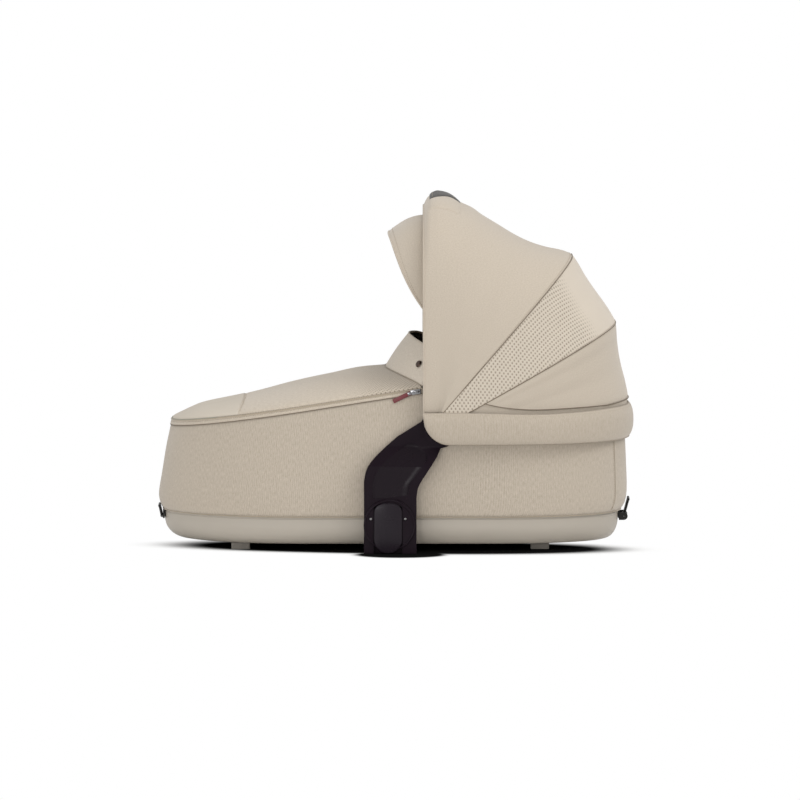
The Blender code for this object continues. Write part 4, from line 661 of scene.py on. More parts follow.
def band_point(across, along):
    """A point on the zip band, which is drawn in along its pressed edge."""
    press = 0.0009 * math.exp(-(((along - 0.64) / 0.05) ** 2))
    puff = 0.0006 * math.sin(math.pi * min(1.0, along / 0.64))
    x, y = round_foot(across, ZIP_LEAN * along + press - puff)
    return x, y, rim_height(x) + 0.0004 + along * zip_height(x)


zip_round = 2 * (quarter(-BAND_PLAN_FOOT - STRAIGHT_HALF, WALL_HALF) + STRAIGHT_HALF + RIM_PEAK_X)
band_shape = lay_sheet(ZIP_COLUMNS, ZIP_ROWS, band_point, (zip_round, 0.0135))
zip_band = make_piece("zip_band", face_out(band_shape, (0, 0, 0.23)), APRON_CLOTH)
cut_sheet(thicken(zip_band, 0.0018))
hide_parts("zip_tape")
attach(zip_band, "cot")


def band_path(up, out, steps=220):
    """A path along the zip band at a share of its height, moved out from it."""
    path = []
    for step in range(steps + 1):
        x, y = round_foot(step / steps, ZIP_LEAN * up - out)
        path.append((x, y, rim_height(x) + up * zip_height(x)))
    return path


coil_path = [(x, y, z + 0.0009) for x, y, z in band_path(1.0, -0.0010)]
coil_beads = run_stitches(coil_path, COIL_PITCH, COIL_PITCH * 0.9, COIL_BEAD)
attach(make_piece("zip_coil", coil_beads, NYLON_ZIP), "cot")
edge_piping = make_piece("band_piping", lay_cord(band_path(0.97, 0.0002), 0.0009, 6), BINDING)
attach(edge_piping, "cot")
pressed_line = run_stitches(band_path(0.64, -0.0006), 0.0042, 0.0036, 0.0004)
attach(make_piece("band_topstitch", pressed_line, DARK_THREAD_AND_HEM_SHADE), "cot")
print("zip band:", round(zip_round, 2), "m of zip")

# %% [markdown]
# ## Slider and puller
# A zip slider is a small zinc casting: a body that rides the coil, a bridge over it and a loop. The leather puller is
# a strip folded through the loop and stitched, and its free end is rounded. Both stand on the sloping zip, so they
# are made flat at the origin and then turned and moved as meshes. The puller also droops about its link.

# %% Sliders and pullers
SLOPE_TURN, PULLER_DROOP = -math.atan(RIM_SLOPE), math.radians(-17)
SLIDER_LENGTH, BRIDGE_REACH, BRIDGE_RISE = 0.018, 0.0062, 0.0036
PULLER_LENGTH, PULLER_HEIGHT, PULLER_DEPTH = 0.034, 0.0105, 0.0024
# The puller's row of stitches, as shares of its length and height
PULLER_ROW = ((0.34, 0.34), (-0.30, 0.34), (-0.42, 0.0), (-0.30, -0.34), (0.34, -0.34))


def along_zip(side, place):
    """The matrix that takes a shape made flat, X along the zip, Y outwards, to a place on one side of the cot."""
    flip = Matrix.Diagonal((1.0, side, 1.0, 1.0))
    return Matrix.Translation(place) @ Matrix.Rotation(SLOPE_TURN, 4, "Y") @ flip


def rounded_block(size, bevel, segments=3, middle=(0, 0, 0)):
    """A block with every edge rounded."""
    block = bmesh.new()
    stand = Matrix.Translation(middle) @ Matrix.Diagonal((*size, 1.0))
    bmesh.ops.create_cube(block, size=1.0, matrix=stand)
    bmesh.ops.bevel(
        block, geom=block.edges[:], offset=bevel, segments=segments, profile=0.5, affect="EDGES", material=-1
    )
    return block


def join_shapes(shape, *others):
    """Adds other shapes to the first one."""
    for other in others:
        mesh = bpy.data.meshes.new("joining")
        other.to_mesh(mesh)
        other.free()
        shape.from_mesh(mesh)
        bpy.data.meshes.remove(mesh)
    return shape


for word, side in SIDES.items():
    low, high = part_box(f"zip_slider_{word}")
    middle = (low + high) / 2
    depth = high.y - low.y
    body = rounded_block((SLIDER_LENGTH, depth * 0.5, 0.0085), 0.0009, middle=(0, -depth * 0.22, 0))
    waist = rounded_block((SLIDER_LENGTH * 0.45, depth * 0.62, 0.0045), 0.0009, middle=(0.0015, 0, 0))
    bridge_path = []
    for step in range(13):
        angle = math.pi * step / 12
        bridge_path.append((-BRIDGE_REACH * math.cos(angle), BRIDGE_RISE * math.sin(angle) ** 0.6 - 0.0002, 0.0))
    bridge = lay_cord(bridge_path, 0.0009, 8)
    shape = join_shapes(body, waist, bridge)
    bmesh.ops.transform(shape, matrix=along_zip(side, middle), verts=shape.verts)
    face_out(shape, middle)
    slider = make_piece(f"slider_{word}", shape, ZINC)
    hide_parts(f"zip_slider_{word}")
    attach(slider, f"zip_slider_{word}")

    low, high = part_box(f"zip_puller_{word}")
    middle = (low + high) / 2
    hinge = Matrix.Translation((PULLER_LENGTH / 2, 0, 0))
    hang = along_zip(side, middle) @ hinge @ Matrix.Rotation(PULLER_DROOP, 4, "Y") @ hinge.inverted()
    strip = rounded_block((PULLER_LENGTH, PULLER_DEPTH, PULLER_HEIGHT), 0.0008)
    for vertex in strip.verts:
        reach = max(0.0, abs(vertex.co.x) / (PULLER_LENGTH / 2) - 0.55) / 0.45
        vertex.co.z *= math.sqrt(max(0.2, 1 - 0.55 * reach**2)) if vertex.co.x < 0 else 1 - 0.35 * reach
    bmesh.ops.transform(strip, matrix=hang, verts=strip.verts)
    puller = make_piece(f"puller_{word}", face_out(strip, middle), BURGUNDY)
    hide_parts(f"zip_puller_{word}")
    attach(puller, f"zip_puller_{word}")
    link = rounded_block((0.006, 0.0026, 0.0056), 0.0008, middle=(PULLER_LENGTH * 0.41, 0.0002, 0))
    bmesh.ops.transform(link, matrix=hang, verts=link.verts)
    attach(make_piece(f"puller_link_{word}", face_out(link, middle), ZINC), f"zip_puller_{word}")
    row_path = []
    for x, z in PULLER_ROW:
        row_path.append((x * PULLER_LENGTH, PULLER_DEPTH / 2 + 0.0001, z * PULLER_HEIGHT))
    rows = run_stitches(row_path, 0.0022, 0.0014, 0.00022)
    bmesh.ops.transform(rows, matrix=hang, verts=rows.verts)
    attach(make_piece(f"puller_stitches_{word}", rows, DARK_THREAD_AND_HEM_SHADE), f"zip_puller_{word}")

# %% [markdown]
# ## The apron
# The apron covers the legs. It is a lightly padded cloth, cut in two: a smooth coated patch over the toes and a
# woven panel behind it that bulges over the baby's knees. It starts as a grid whose rows are the apron's cross
# sections, and near the hood its cloth turns into an open knit whose holes fade in.

# %% Apron
APRON_HALF, APRON_RISE, APRON_THICKNESS = 0.1895, 0.0285, 0.005
APRON_REAR_SWEEP, APRON_FULLNESS, APRON_FIRST_ANGLE = 0.0575, 2.4, 6
APRON_ARC_SHARE, FOOT_PIPING_SHARE = 0.627, 0.32
APRON_COLUMNS, APRON_ROWS = 150, 160
TOE_SEAM_X, TOE_GROOVE, TOE_LIFT, TOE_CURVE, EDGE_ROLL = -0.259, 0.0007, 0.0009, 0.020, 22
# Share of the length from the foot, and the crown as a share of its rise
APRON_RISE_SHARES = (
    (0.00, 0.00),
    (0.04, 0.06),
    (0.08, 0.20),
    (0.128, 0.36),
    (0.187, 0.43),
    (0.312, 0.47),
    (0.42, 0.60),
    (0.52, 0.76),
    (0.62, 0.89),
    (0.727, 0.99),
    (0.865, 1.08),
    (1.00, 0.95),
)


def apron_station(along):
    """(x, half width) of a cross section of the apron."""
    reach = -APRON_FRONT_X - STRAIGHT_HALF
    if along < APRON_ARC_SHARE:
        angle = math.radians(APRON_FIRST_ANGLE + (90 - APRON_FIRST_ANGLE) * along / APRON_ARC_SHARE)
        return -STRAIGHT_HALF - reach * math.cos(angle), APRON_HALF * math.sin(angle)
    part = (along - APRON_ARC_SHARE) / (1 - APRON_ARC_SHARE)
    return -STRAIGHT_HALF + part * (APRON_REAR_X + STRAIGHT_HALF), APRON_HALF


def apron_point(across, along, lift=0.0):
    """A point on the apron; across and along run from 0 to 1. Its padding rolls down to the zip at the edge."""
    x, half = apron_station(along)
    crown = APRON_RISE * read_shares(APRON_RISE_SHARES, (x - APRON_FRONT_X) / (APRON_REAR_X - APRON_FRONT_X), 1)
    side = 2 * across - 1
    round_x = max(0.0, -STRAIGHT_HALF - x) / (-APRON_FRONT_X - STRAIGHT_HALF)
    out = min(1.0, math.hypot(round_x, half * side / APRON_HALF))
    x += APRON_REAR_SWEEP * max(0.0, (along - APRON_ARC_SHARE) / (1 - APRON_ARC_SHARE)) * side * side
    edge = rim_height(x) + zip_height(x) + 0.0006
    padding = APRON_THICKNESS * math.sqrt(1 - out**EDGE_ROLL)
    wave = 0.0010 * ripple(x, half * side, 0.0, 0.07, 3.0) * (1 - out**8)
    seam = TOE_GROOVE * math.exp(-(((x - TOE_SEAM_X) / 0.0018) ** 2))
    return x, half * side, edge + padding + crown * (1 - abs(side) ** APRON_FULLNESS) + wave - seam + lift


APRON_LENGTH, APRON_WIDTH = 0.41, 0.41
apron_shape = lay_sheet(APRON_COLUMNS, APRON_ROWS, apron_point, (APRON_WIDTH, APRON_LENGTH))
face_out(apron_shape, (-0.15, 0, 0.1))
KNIT_START_X, KNIT_FULL_X = -0.095, -0.015
knit = apron_shape.verts.layers.float.new("knit")
for vertex in apron_shape.verts:
    vertex[knit] = eased((vertex.co.x - KNIT_START_X) / (KNIT_FULL_X - KNIT_START_X))


def open_knit(finish, pitch_mm, dark):
    """Adds rows of small holes to a cloth, as strong as the piece's knit attribute says."""
    shader = finish.node_tree.nodes["Principled BSDF"]
    cloth = add_node(finish, "ShaderNodeUVMap", uv_map="cloth").outputs["UV"]
    split = add_node(finish, "ShaderNodeSeparateXYZ", {"Vector": cloth})
    turns = 2 * math.pi / (pitch_mm * MM)
    waves = []
    for axis in ("X", "Y"):
        scaled = add_node(finish, "ShaderNodeMath", {0: split.outputs[axis], 1: turns}, operation="MULTIPLY")
        waves.append(add_node(finish, "ShaderNodeMath", {0: scaled.outputs[0]}, operation="SINE").outputs[0])
    holes = add_node(finish, "ShaderNodeMath", {0: waves[0], 1: waves[1]}, operation="MULTIPLY").outputs[0]
    sharp = add_node(finish, "ShaderNodeMapRange", {"Value": holes, "From Min": 0.25, "From Max": 0.75})
    strength = add_node(finish, "ShaderNodeAttribute", attribute_name="knit").outputs["Fac"]
    amount = add_node(
        finish, "ShaderNodeMath", {0: sharp.outputs["Result"], 1: strength}, operation="MULTIPLY"
    ).outputs[0]
    below = shader.inputs["Base Color"].links[0].from_socket
    mixed = add_node(finish, "ShaderNodeMix", {0: amount, 6: below, 7: linear(dark)}, data_type="RGBA")
    wire(finish, mixed.outputs[2], shader, "Base Color")
    return finish


APRON_WEAVE = woven_cloth("apron_cloth_with_knit", "#CDC2B2", "#B3A695", (2.4, 5.0), 2.0, 0.30)
APRON_KNIT = open_knit(APRON_WEAVE, 6.0, "#8F8373")
apron = make_piece("apron_cloth", apron_shape, APRON_KNIT)
cut_sheet(thicken(apron, 0.004))
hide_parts("apron_cover")
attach(apron, "apron")


def toe_point(across, along):
    """A point on the toe patch, which lies on the apron from the foot to the seam."""
    return apron_point(across, along * toe_end(across), TOE_LIFT)


def toe_end(across):
    """Share of the apron's length where the toe patch ends, nearer the foot at the sides."""
    return TOE_END_SHARE - TOE_CURVE * (2 * across - 1) ** 2


TOE_END_SHARE = next(n / 500 for n in range(500) if apron_station(n / 500)[0] > TOE_SEAM_X) - 0.004
toe_shape = lay_sheet(110, 60, toe_point, (APRON_WIDTH, APRON_LENGTH * TOE_END_SHARE))
toe = make_piece("toe_patch", face_out(toe_shape, (-0.3, 0, 0.1)), PATCH)
cut_sheet(thicken(toe, 0.0012))
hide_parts("apron_toe_patch")
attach(toe, "apron")
seam_path = []
for step in range(91):
    across = 0.03 + 0.94 * step / 90
    seam_path.append(apron_point(across, toe_end(across) + 0.006, 0.0003))
seam_row = run_stitches(seam_path, 0.0042, 0.0034, 0.0004)
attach(make_piece("toe_stitches", seam_row, THREAD), "apron")


def round_apron(reach, steps, lift):
    """A path round the apron's edge, from one side to the other, that starts and ends at a share of its length."""
    path = [apron_point(0.0, reach * (1 - step / steps), lift) for step in range(steps + 1)]
    path += [apron_point(step / 30, 0.0, lift) for step in range(1, 30)]
    return path + [apron_point(1.0, reach * step / steps, lift) for step in range(steps + 1)]


edge_cord = lay_cord(round_apron(1.0, 100, -0.0012), 0.0017, 8)
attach(make_piece("apron_piping", edge_cord, BINDING), "apron")
foot_cord = lay_cord(round_apron(FOOT_PIPING_SHARE, 60, -0.0008), 0.0020, 10)
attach(make_piece("foot_piping", foot_cord, PIPING), "apron")
print("apron:", APRON_WIDTH, "by", APRON_LENGTH, "toe patch ends at share", round(TOE_END_SHARE, 3))

# %% [markdown]
# ## The wind flap
# The flap stands up at the end of the apron and wraps towards the hood at both sides. It is two cloths sewn back to
# back: the apron's cloth towards the feet, drawn in a lighter copy that paints light on the flap, and a black lining
# towards the face. A rolled edge joins them, and a press snap at each end holds the flap to the hood.

# %% Wind flap
FLAP_HEIGHT, FLAP_LEAN, FLAP_REACH, FLAP_SIDE, FLAP_SET_IN = 0.0685, math.radians(34), 0.985, 0.85, 0.006
FLAP_COLUMNS, FLAP_ROWS, FLAP_THICKNESS = 110, 34, 0.0028


def flap_point(across, up, back=0.0):
    """A point on the wind flap; across runs from 0 to 1 and up from the seam to the top edge."""
    side = 2 * across - 1
    x, y, z = apron_point(0.5 + FLAP_REACH * side / 2, 1.0, 0.0009)
    height = FLAP_HEIGHT * up * (1 - (1 - FLAP_SIDE) * side * side) * (1 - 0.14 * abs(side) ** 9)
    belly = 0.0012 * math.sin(math.pi * up) + 0.0012 * ripple(y, up * 0.05, 0.0, 0.06, 5.0) * up
    lean = FLAP_LEAN + 0.04 * (up - 0.5)
    return x - FLAP_SET_IN * (1 - side * side) + back + height * math.sin(lean) - belly, y, z + height * math.cos(lean)


FLAP_WIDTH = 0.39
flap_shape = lay_sheet(FLAP_COLUMNS, FLAP_ROWS, flap_point, (FLAP_WIDTH, FLAP_HEIGHT))
# The flap wears the lighter copy of the apron's cloth, which paints light onto it
flap = make_piece("flap_cloth", face_out(flap_shape, (0.3, 0, 0.3)), FLAP_CLOTH_PAINTED_LIGHTER)
cut_sheet(thicken(flap, 0.0016))
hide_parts("wind_flap")


def flap_back(across, up):
    """A point on the lining, behind the flap's cloth."""
    return flap_point(across, up, FLAP_THICKNESS)


lining_shape = lay_sheet(FLAP_COLUMNS, FLAP_ROWS, flap_back, (FLAP_WIDTH, FLAP_HEIGHT))
lining = make_piece("flap_back_cloth", face_out(lining_shape, (-0.3, 0, 0.3)), LINING)
cut_sheet(thicken(lining, 0.0010))
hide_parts("flap_lining")
edge = [flap_point(0.0, step / 20, 0.0014) for step in range(20)]
edge += [flap_point(step / 80, 1.0, 0.0014) for step in range(81)]
edge += [flap_point(1.0, 1 - step / 20, 0.0014) for step in range(1, 21)]
flap_edge = make_piece("flap_rolled_edge", lay_cord(edge, 0.0019, 8), APRON_CLOTH)
base = [flap_point(step / 80, 0.0, -0.0012) for step in range(81)]
base_seam = make_piece("flap_base_seam", lay_cord(base, 0.0008, 6), BINDING)
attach(base_seam, "apron")
for piece in (flap, lining, flap_edge):
    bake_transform(piece)
for word in SIDES:
    snap_node = nodes[f"flap_snap_{word}"]
    snap_node.data.materials.clear()
    snap_node.data.materials.append(BRONZE)

# %% [markdown]
# ## The hood
# Three cloth panels are sewn along two ribs and a front bow. Every cross section is an arch, flatter at the top than
# a circle, in a plane through the hub, and between the ribs the cloth is drawn in by its own tension. So each panel
# is a grid laid on arches whose radius and squareness come from a short table, read on a smooth curve.

# %% Hood surface
HOOD_RADIUS, HOOD_FABRIC, BOW_WIDTH = 0.3895, 0.0027, 0.040
FRONT_HEM_Z = 0.2413
MIDDLE_ANGLE, REAR_ANGLE = 51.0, 29.0
REAR_OUTER_Y, BOW_OUTER_Y = PIN_END_Y - 0.0018, PIN_END_Y - 0.0090
FABRIC_WIDE_ANGLE = 68.0
# Share of the panel, angle in degrees, forward shift as a share of the bow, radius share, squareness
FRONT_PANEL_SHARES = (
    (0.000, 90.0, -0.655, 0.950, 3.3),
    (0.035, 90.0, -0.560, 0.972, 3.3),
    (0.070, 90.0, -0.420, 0.991, 3.3),
    (0.115, 90.0, -0.200, 0.998, 3.3),
    (0.160, 90.0, 0.000, 1.000, 3.3),
    (0.220, 87.5, 0.000, 0.992, 3.3),
    (0.290, 84.2, 0.000, 0.967, 3.3),
    (0.355, 81.0, 0.000, 0.950, 3.2),
    (0.420, 78.0, 0.000, 0.926, 3.2),
    (0.510, 73.7, 0.000, 0.905, 3.1),
    (0.620, 68.3, 0.000, 0.887, 3.1),
    (0.730, 63.0, 0.000, 0.885, 3.0),
    (0.830, 58.2, 0.000, 0.900, 3.0),
    (0.925, 53.8, 0.000, 0.929, 3.0),
    (1.000, MIDDLE_ANGLE, 0.000, 0.943, 3.0),
)
MESH_PANEL_SHARES = (
    (0.00, MIDDLE_ANGLE, 0.000, 0.943, 3.0),
    (0.14, 48.0, 0.000, 0.929, 2.9),
    (0.30, 44.5, 0.000, 0.913, 2.9),
    (0.50, 40.0, 0.000, 0.903, 2.8),
    (0.70, 35.8, 0.000, 0.900, 2.8),
    (1.00, REAR_ANGLE, 0.000, 0.899, 2.7),
)
REAR_PANEL_SHARES = (
    (0.00, REAR_ANGLE, 0.000, 0.899, 2.7),
    (0.12, 26.5, 0.000, 0.882, 2.7),
    (0.24, 24.0, 0.000, 0.867, 2.6),
    (0.42, 20.0, 0.000, 0.852, 2.6),
    (0.60, 16.0, 0.000, 0.845, 2.5),
    (0.76, 12.5, 0.000, 0.845, 2.5),
    (0.88, 10.0, 0.000, 0.846, 2.5),
    (1.00, 7.0, 0.000, 0.848, 2.5),
)


def fabric_half_width(angle):
    """Half width of the hood, which widens over the eyes of each rib."""
    part = eased((angle - FABRIC_WIDE_ANGLE) / (90.0 - FABRIC_WIDE_ANGLE))
    return REAR_OUTER_Y + 0.0003 + HOOD_FABRIC + (BOW_OUTER_Y - REAR_OUTER_Y) * part


# Place along the cot and height of the padded band's upper edge
BAND_TOP = (
    (0.048, 0.2425),
    (0.156, 0.2420),
    (0.250, 0.2392),
    (0.320, 0.2410),
    (0.386, 0.2440),
    (0.409, 0.2444),
)


def band_top(x):
    """Upper edge of the band, which dips behind the hub and climbs again to the head."""
    return read_shares(BAND_TOP, x, 1)


def arch_reach(turn, half, radius, power):
    """Distance from the hub's axis to a superelliptic arch, at a turn round it."""
    return (abs(math.cos(turn) / half) ** power + abs(math.sin(turn) / radius) ** power) ** (-1 / power)


# Angle in degrees, then the height of the rear panel's hem, and how far a seam at that angle leans to the foot end
REAR_HEM = (
    (7.0, 0.2488),
    (8.0, 0.2480),
    (10.8, 0.2463),
    (15.0, 0.2485),
    (20.5, 0.2522),
    (24.0, 0.2545),
    (29.0, 0.2579),
)
SEAM_LEAN = (
    (0.0, 0.000),
    (20.0, 0.001),
    (29.0, 0.003),
    (40.0, 0.010),
    (51.0, 0.019),
    (65.0, 0.010),
    (80.0, 0.002),
    (90.0, 0.000),
)


def hem_height(table, angle):
    """Height of a panel's hem: the rear one stops above the band, over a strip of its own."""
    return read_shares(REAR_HEM, angle, 1) if table is REAR_PANEL_SHARES else FRONT_HEM_Z


def arch_point(table, along, turn, proud=0.0, wave=0.0):
    """A point on a hood panel at a turn round its arch, along from its front edge to its rear one."""
    angle, shift, radius_share, power = (read_shares(table, along, column) for column in (1, 2, 3, 4))
    lean = math.radians(angle)
    reach = wave + arch_reach(turn, fabric_half_width(angle) + proud, HOOD_RADIUS * radius_share + proud, power)
    out = reach * math.sin(turn)
    x = HUB_X + shift * BOW_WIDTH + out * math.cos(lean)
    x -= read_shares(SEAM_LEAN, angle, 1) * (1 - out / (HOOD_RADIUS * radius_share))
    return x, -reach * math.cos(turn), HUB_Z + out * math.sin(lean)


def hood_point(table, across, along, proud=0.0, seamed=True):
    """A point on a hood panel: across from the -Y hem to the +Y hem."""
    angle, _, radius_share, power = (read_shares(table, along, column) for column in (1, 2, 3, 4))
    low = (hem_height(table, angle) - HUB_Z) / math.sin(math.radians(angle))
    low_share = min(0.999, low / (HOOD_RADIUS * radius_share))
    first = math.atan2(low, fabric_half_width(angle) * (1 - low_share**power) ** (1 / power))
    turn = first + (math.pi - 2 * first) * across
    inside = math.sin(math.pi * along) * math.sin(math.pi * across) if seamed else 0.0
    wave = 0.0014 * inside * ripple(angle * 0.006, 0.22 * math.cos(turn), 0.37 * math.sin(turn), 0.10, 7.0)
    return arch_point(table, along, turn, proud, wave)


def stitched_in(along, width_share):
    """How far a panel is drawn down at the seams at its two edges."""
    return math.exp(-((along / width_share) ** 2)) + math.exp(-(((1 - along) / width_share) ** 2))


# %% [markdown]
# ### Front and rear panels
# Both are plain woven cloth. The front one is the largest, and its front edge rolls round the bow. A shallow groove
# along each seam is where the stitching draws the cloth down.

# %% Front and rear panels
ARCH_LENGTH = 0.96


def front_point(across, along):
    """A point on the front panel."""
    return hood_point(FRONT_PANEL_SHARES, across, along, -0.0008 * math.exp(-(((1 - along) / 0.012) ** 2)))


def rear_point(across, along):
    """A point on the rear panel."""
    return hood_point(REAR_PANEL_SHARES, across, along, -0.0008 * stitched_in(along, 0.03))


front_shape = lay_sheet(190, 90, front_point, (ARCH_LENGTH, 0.27))
front_panel = make_piece("hood_front_cloth", face_out(front_shape, (HUB_X, 0, HUB_Z)), HOOD_CLOTH)
cut_sheet(thicken(front_panel, 0.0016))
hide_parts("hood_front_panel")
rear_shape = lay_sheet(190, 60, rear_point, (ARCH_LENGTH, 0.14))
rear_panel = make_piece("hood_rear_cloth", face_out(rear_shape, (HUB_X, 0, HUB_Z)), HOOD_CLOTH)
cut_sheet(thicken(rear_panel, 0.0016))
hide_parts("hood_rear_panel")

# %% [markdown]
# ### Ventilation panel
# The panel narrows from the crown to the hub, but its lozenges don't. So each corner gets two measures in metres for
# the knit's own UV map: how far along the cot it lies, and how far up the side and in towards the crown. A second
# attribute opens the knit on the sides and closes it over the crown.

# %% Ventilation panel
KNIT_COLUMNS, KNIT_ROWS, KNIT_LENGTH = 260, 48, 0.135
KNIT_CLOSED_Y, KNIT_FADE = 0.120, 0.040


def mesh_point(across, along):
    """A point on the ventilation panel."""
    return hood_point(MESH_PANEL_SHARES, across, along, -0.0006 * stitched_in(along, 0.03))


def lattice_place(across, along):
    """Distance along the cot, and distance up the side and towards the crown, of a point of the knit."""
    x, y, z = mesh_point(across, along)
    return x, z - abs(y)


knit_shape = lay_sheet(KNIT_COLUMNS, KNIT_ROWS, mesh_point, (ARCH_LENGTH, KNIT_LENGTH))
knit_cloth = knit_shape.loops.layers.uv["cloth"]
knit_lattice = knit_shape.loops.layers.uv.new("knit")
for face in knit_shape.faces:
    for loop in face.loops:
        flat = loop[knit_cloth].uv
        loop[knit_lattice].uv = lattice_place(flat.x / ARCH_LENGTH, flat.y / KNIT_LENGTH)
knit_open = knit_shape.verts.layers.float.new("open")
for vertex in knit_shape.verts:
    vertex[knit_open] = eased((abs(vertex.co.y) - KNIT_CLOSED_Y) / KNIT_FADE)
mesh_panel = make_piece("hood_knit", face_out(knit_shape, (HUB_X, 0, HUB_Z)), KNIT)
cut_sheet(thicken(mesh_panel, 0.0014))
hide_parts("hood_mesh_panel")
print("knit quads:", KNIT_COLUMNS * KNIT_ROWS)

# %% [markdown]
# ### Panels between the ribs
# A panel is sewn to a rib at each edge, and the ribs turn by different angles. Here each panel is only baked in
# place as it was laid, and follows no rib's body.

# %% Bake the panels in place
# The two bodies that each panel hangs between, and the angle of a plane through the hub between them
BENDS = {
    "front": ("middle_rib", "hood_bow", (90 + MIDDLE_ANGLE) / 2),
    "knit": ("rear_rib", "middle_rib", (MIDDLE_ANGLE + REAR_ANGLE) / 2),
    "rear": ("cot", "rear_rib", 18),
}


def bend_panel(piece, first, second, middle_angle):
    """Bakes a panel's placement into its mesh; the panel stays as it was laid."""
    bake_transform(piece)


bend_panel(front_panel, *BENDS["front"])
bend_panel(mesh_panel, *BENDS["knit"])
bend_panel(rear_panel, *BENDS["rear"])

# %% [markdown]
# ### Seams, hem and front edge
# A thin dark cord marks the seam over each rib, with a row of stitches beside it. The hems over the band are bound
# with the same cord, whose dark colour also paints the shade line under each hem, and the front edge is rolled over
# the bow.

# %% Hood seams
# Share of a panel's length between its seam and the row of stitches
SEAM_TO_STITCHES = 0.018
for name, table, body in (("middle", FRONT_PANEL_SHARES, "middle_rib"), ("rear", MESH_PANEL_SHARES, "rear_rib")):
    path = [hood_point(table, step / 160, 1.0, -0.0004, False) for step in range(161)]
    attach(make_piece(f"hood_seam_{name}", lay_cord(path, 0.0008, 6), DARK_THREAD_AND_HEM_SHADE), body)
    path = [hood_point(table, step / 160, 1.0 - SEAM_TO_STITCHES, 0.0001, False) for step in range(161)]
    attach(make_piece(f"hood_stitches_{name}", run_stitches(path, *STITCH), THREAD), body)
# The dark cords on the hems also paint the shade line that lies under each hem
for name, table in (("front", FRONT_PANEL_SHARES), ("knit", MESH_PANEL_SHARES), ("rear", REAR_PANEL_SHARES)):
    for word, side in SIDES.items():
        path = [hood_point(table, 0.0 if side < 0 else 1.0, step / 40, 0.0002, False) for step in range(41)]
        hem = make_piece(f"hood_hem_{name}_{word}", lay_cord(path, 0.0009, 6), DARK_THREAD_AND_HEM_SHADE)
        bend_panel(hem, *BENDS[name])
# The head hem's dark cord also paints the shade line under it
rear_hem_path = [hood_point(REAR_PANEL_SHARES, step / 120, 1.0, 0.0002, False) for step in range(121)]
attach(make_piece("hood_hem_head", lay_cord(rear_hem_path, 0.0009, 6), DARK_THREAD_AND_HEM_SHADE), "cot")
front_edge_path = [hood_point(FRONT_PANEL_SHARES, step / 120, 0.0, 0.0, False) for step in range(121)]
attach(make_piece("hood_front_edge", lay_cord(front_edge_path, 0.0016, 8), HOOD_CLOTH), "hood_bow")

# %% [markdown]
# ### Strip under the rear hem
# The rear panel's hem hangs free above the band, so that the hood can fold. Behind it a narrow strip of the same
# cloth closes the opening. It follows the hem's path, a little set in, and goes down behind the band.

# %% Strip under the rear hem
STRIP_ENDS, STRIP_SET_IN, STRIP_OVERLAP, STRIP_TUCK = (0.34, 0.66), 0.0016, 0.004, 0.004
STRIP_REACH, STRIP_WIDTH = 0.033, 0.022


def hem_path_point(share):
    """A point on the rear hem, from its -Y end round the head to its +Y end."""
    start, end = STRIP_ENDS
    if share < start:
        return hood_point(REAR_PANEL_SHARES, 0.0, share / start, -STRIP_SET_IN, False)
    if share > end:
        return hood_point(REAR_PANEL_SHARES, 1.0, (1 - share) / (1 - end), -STRIP_SET_IN, False)
    return hood_point(REAR_PANEL_SHARES, (share - start) / (end - start), 1.0, -STRIP_SET_IN, False)


def strip_point(across, along):
    """A point on the strip: along from behind the band up to behind the hem."""
    x, y, z = hem_path_point(across)
    low, high = band_top(x) - STRIP_TUCK, z + STRIP_OVERLAP
    near_end = 1 - eased(min(across, 1 - across) / (STRIP_ENDS[0] * 0.5))
    return x - STRIP_REACH * near_end * (1 - along), y, low + (high - low) * along


strip_shape = lay_sheet(220, 8, strip_point, (0.80, STRIP_WIDTH))
strip = make_piece("hood_hem_strip", face_out(strip_shape, (HUB_X, 0, HUB_Z)), HOOD_CLOTH)
cut_sheet(thicken(strip, 0.0010))
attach(strip, "cot")

# %% [markdown]
# ## Visor
# The visor is a cloth peak on a spring wire. Its root is sewn to the bow, its free edge is piped over the wire, and
# it droops a little between them.

# %% Visor
VISOR_REACH, VISOR_DROOP, VISOR_ARC, VISOR_FULLNESS = 0.0665, 0.028, math.radians(42), 2.6
VISOR_FRONT_X = HUB_X + 0.0002 - BOW_WIDTH / 2 - 0.0003
VISOR_ROOT, VISOR_DROP, VISOR_ROOT_SHARE = 0.3753 - 0.004, 0.0183, 0.08
VISOR_HALF = BOW_OUTER_Y - 0.004
VISOR_POWER = FRONT_PANEL_SHARES[0][4]


def visor_point(across, out, drop=0.0):
    """A point on the visor: across from side to side, out from the bow to the free edge."""
    side = 2 * across - 1
    turn = math.pi / 2 + VISOR_ARC * side
    depth = VISOR_REACH * (1 - abs(side) ** VISOR_FULLNESS) * out
    lowered = drop + VISOR_DROP * eased(out / VISOR_ROOT_SHARE) - 0.004 * math.sin(math.pi * out) * (1 - side * side)
    reach = arch_reach(turn, VISOR_HALF - lowered, VISOR_ROOT - lowered, VISOR_POWER)
    droop = VISOR_DROOP * (depth / VISOR_REACH) ** 1.5
    return VISOR_FRONT_X - depth, -reach * math.cos(turn), HUB_Z + reach * math.sin(turn) - droop


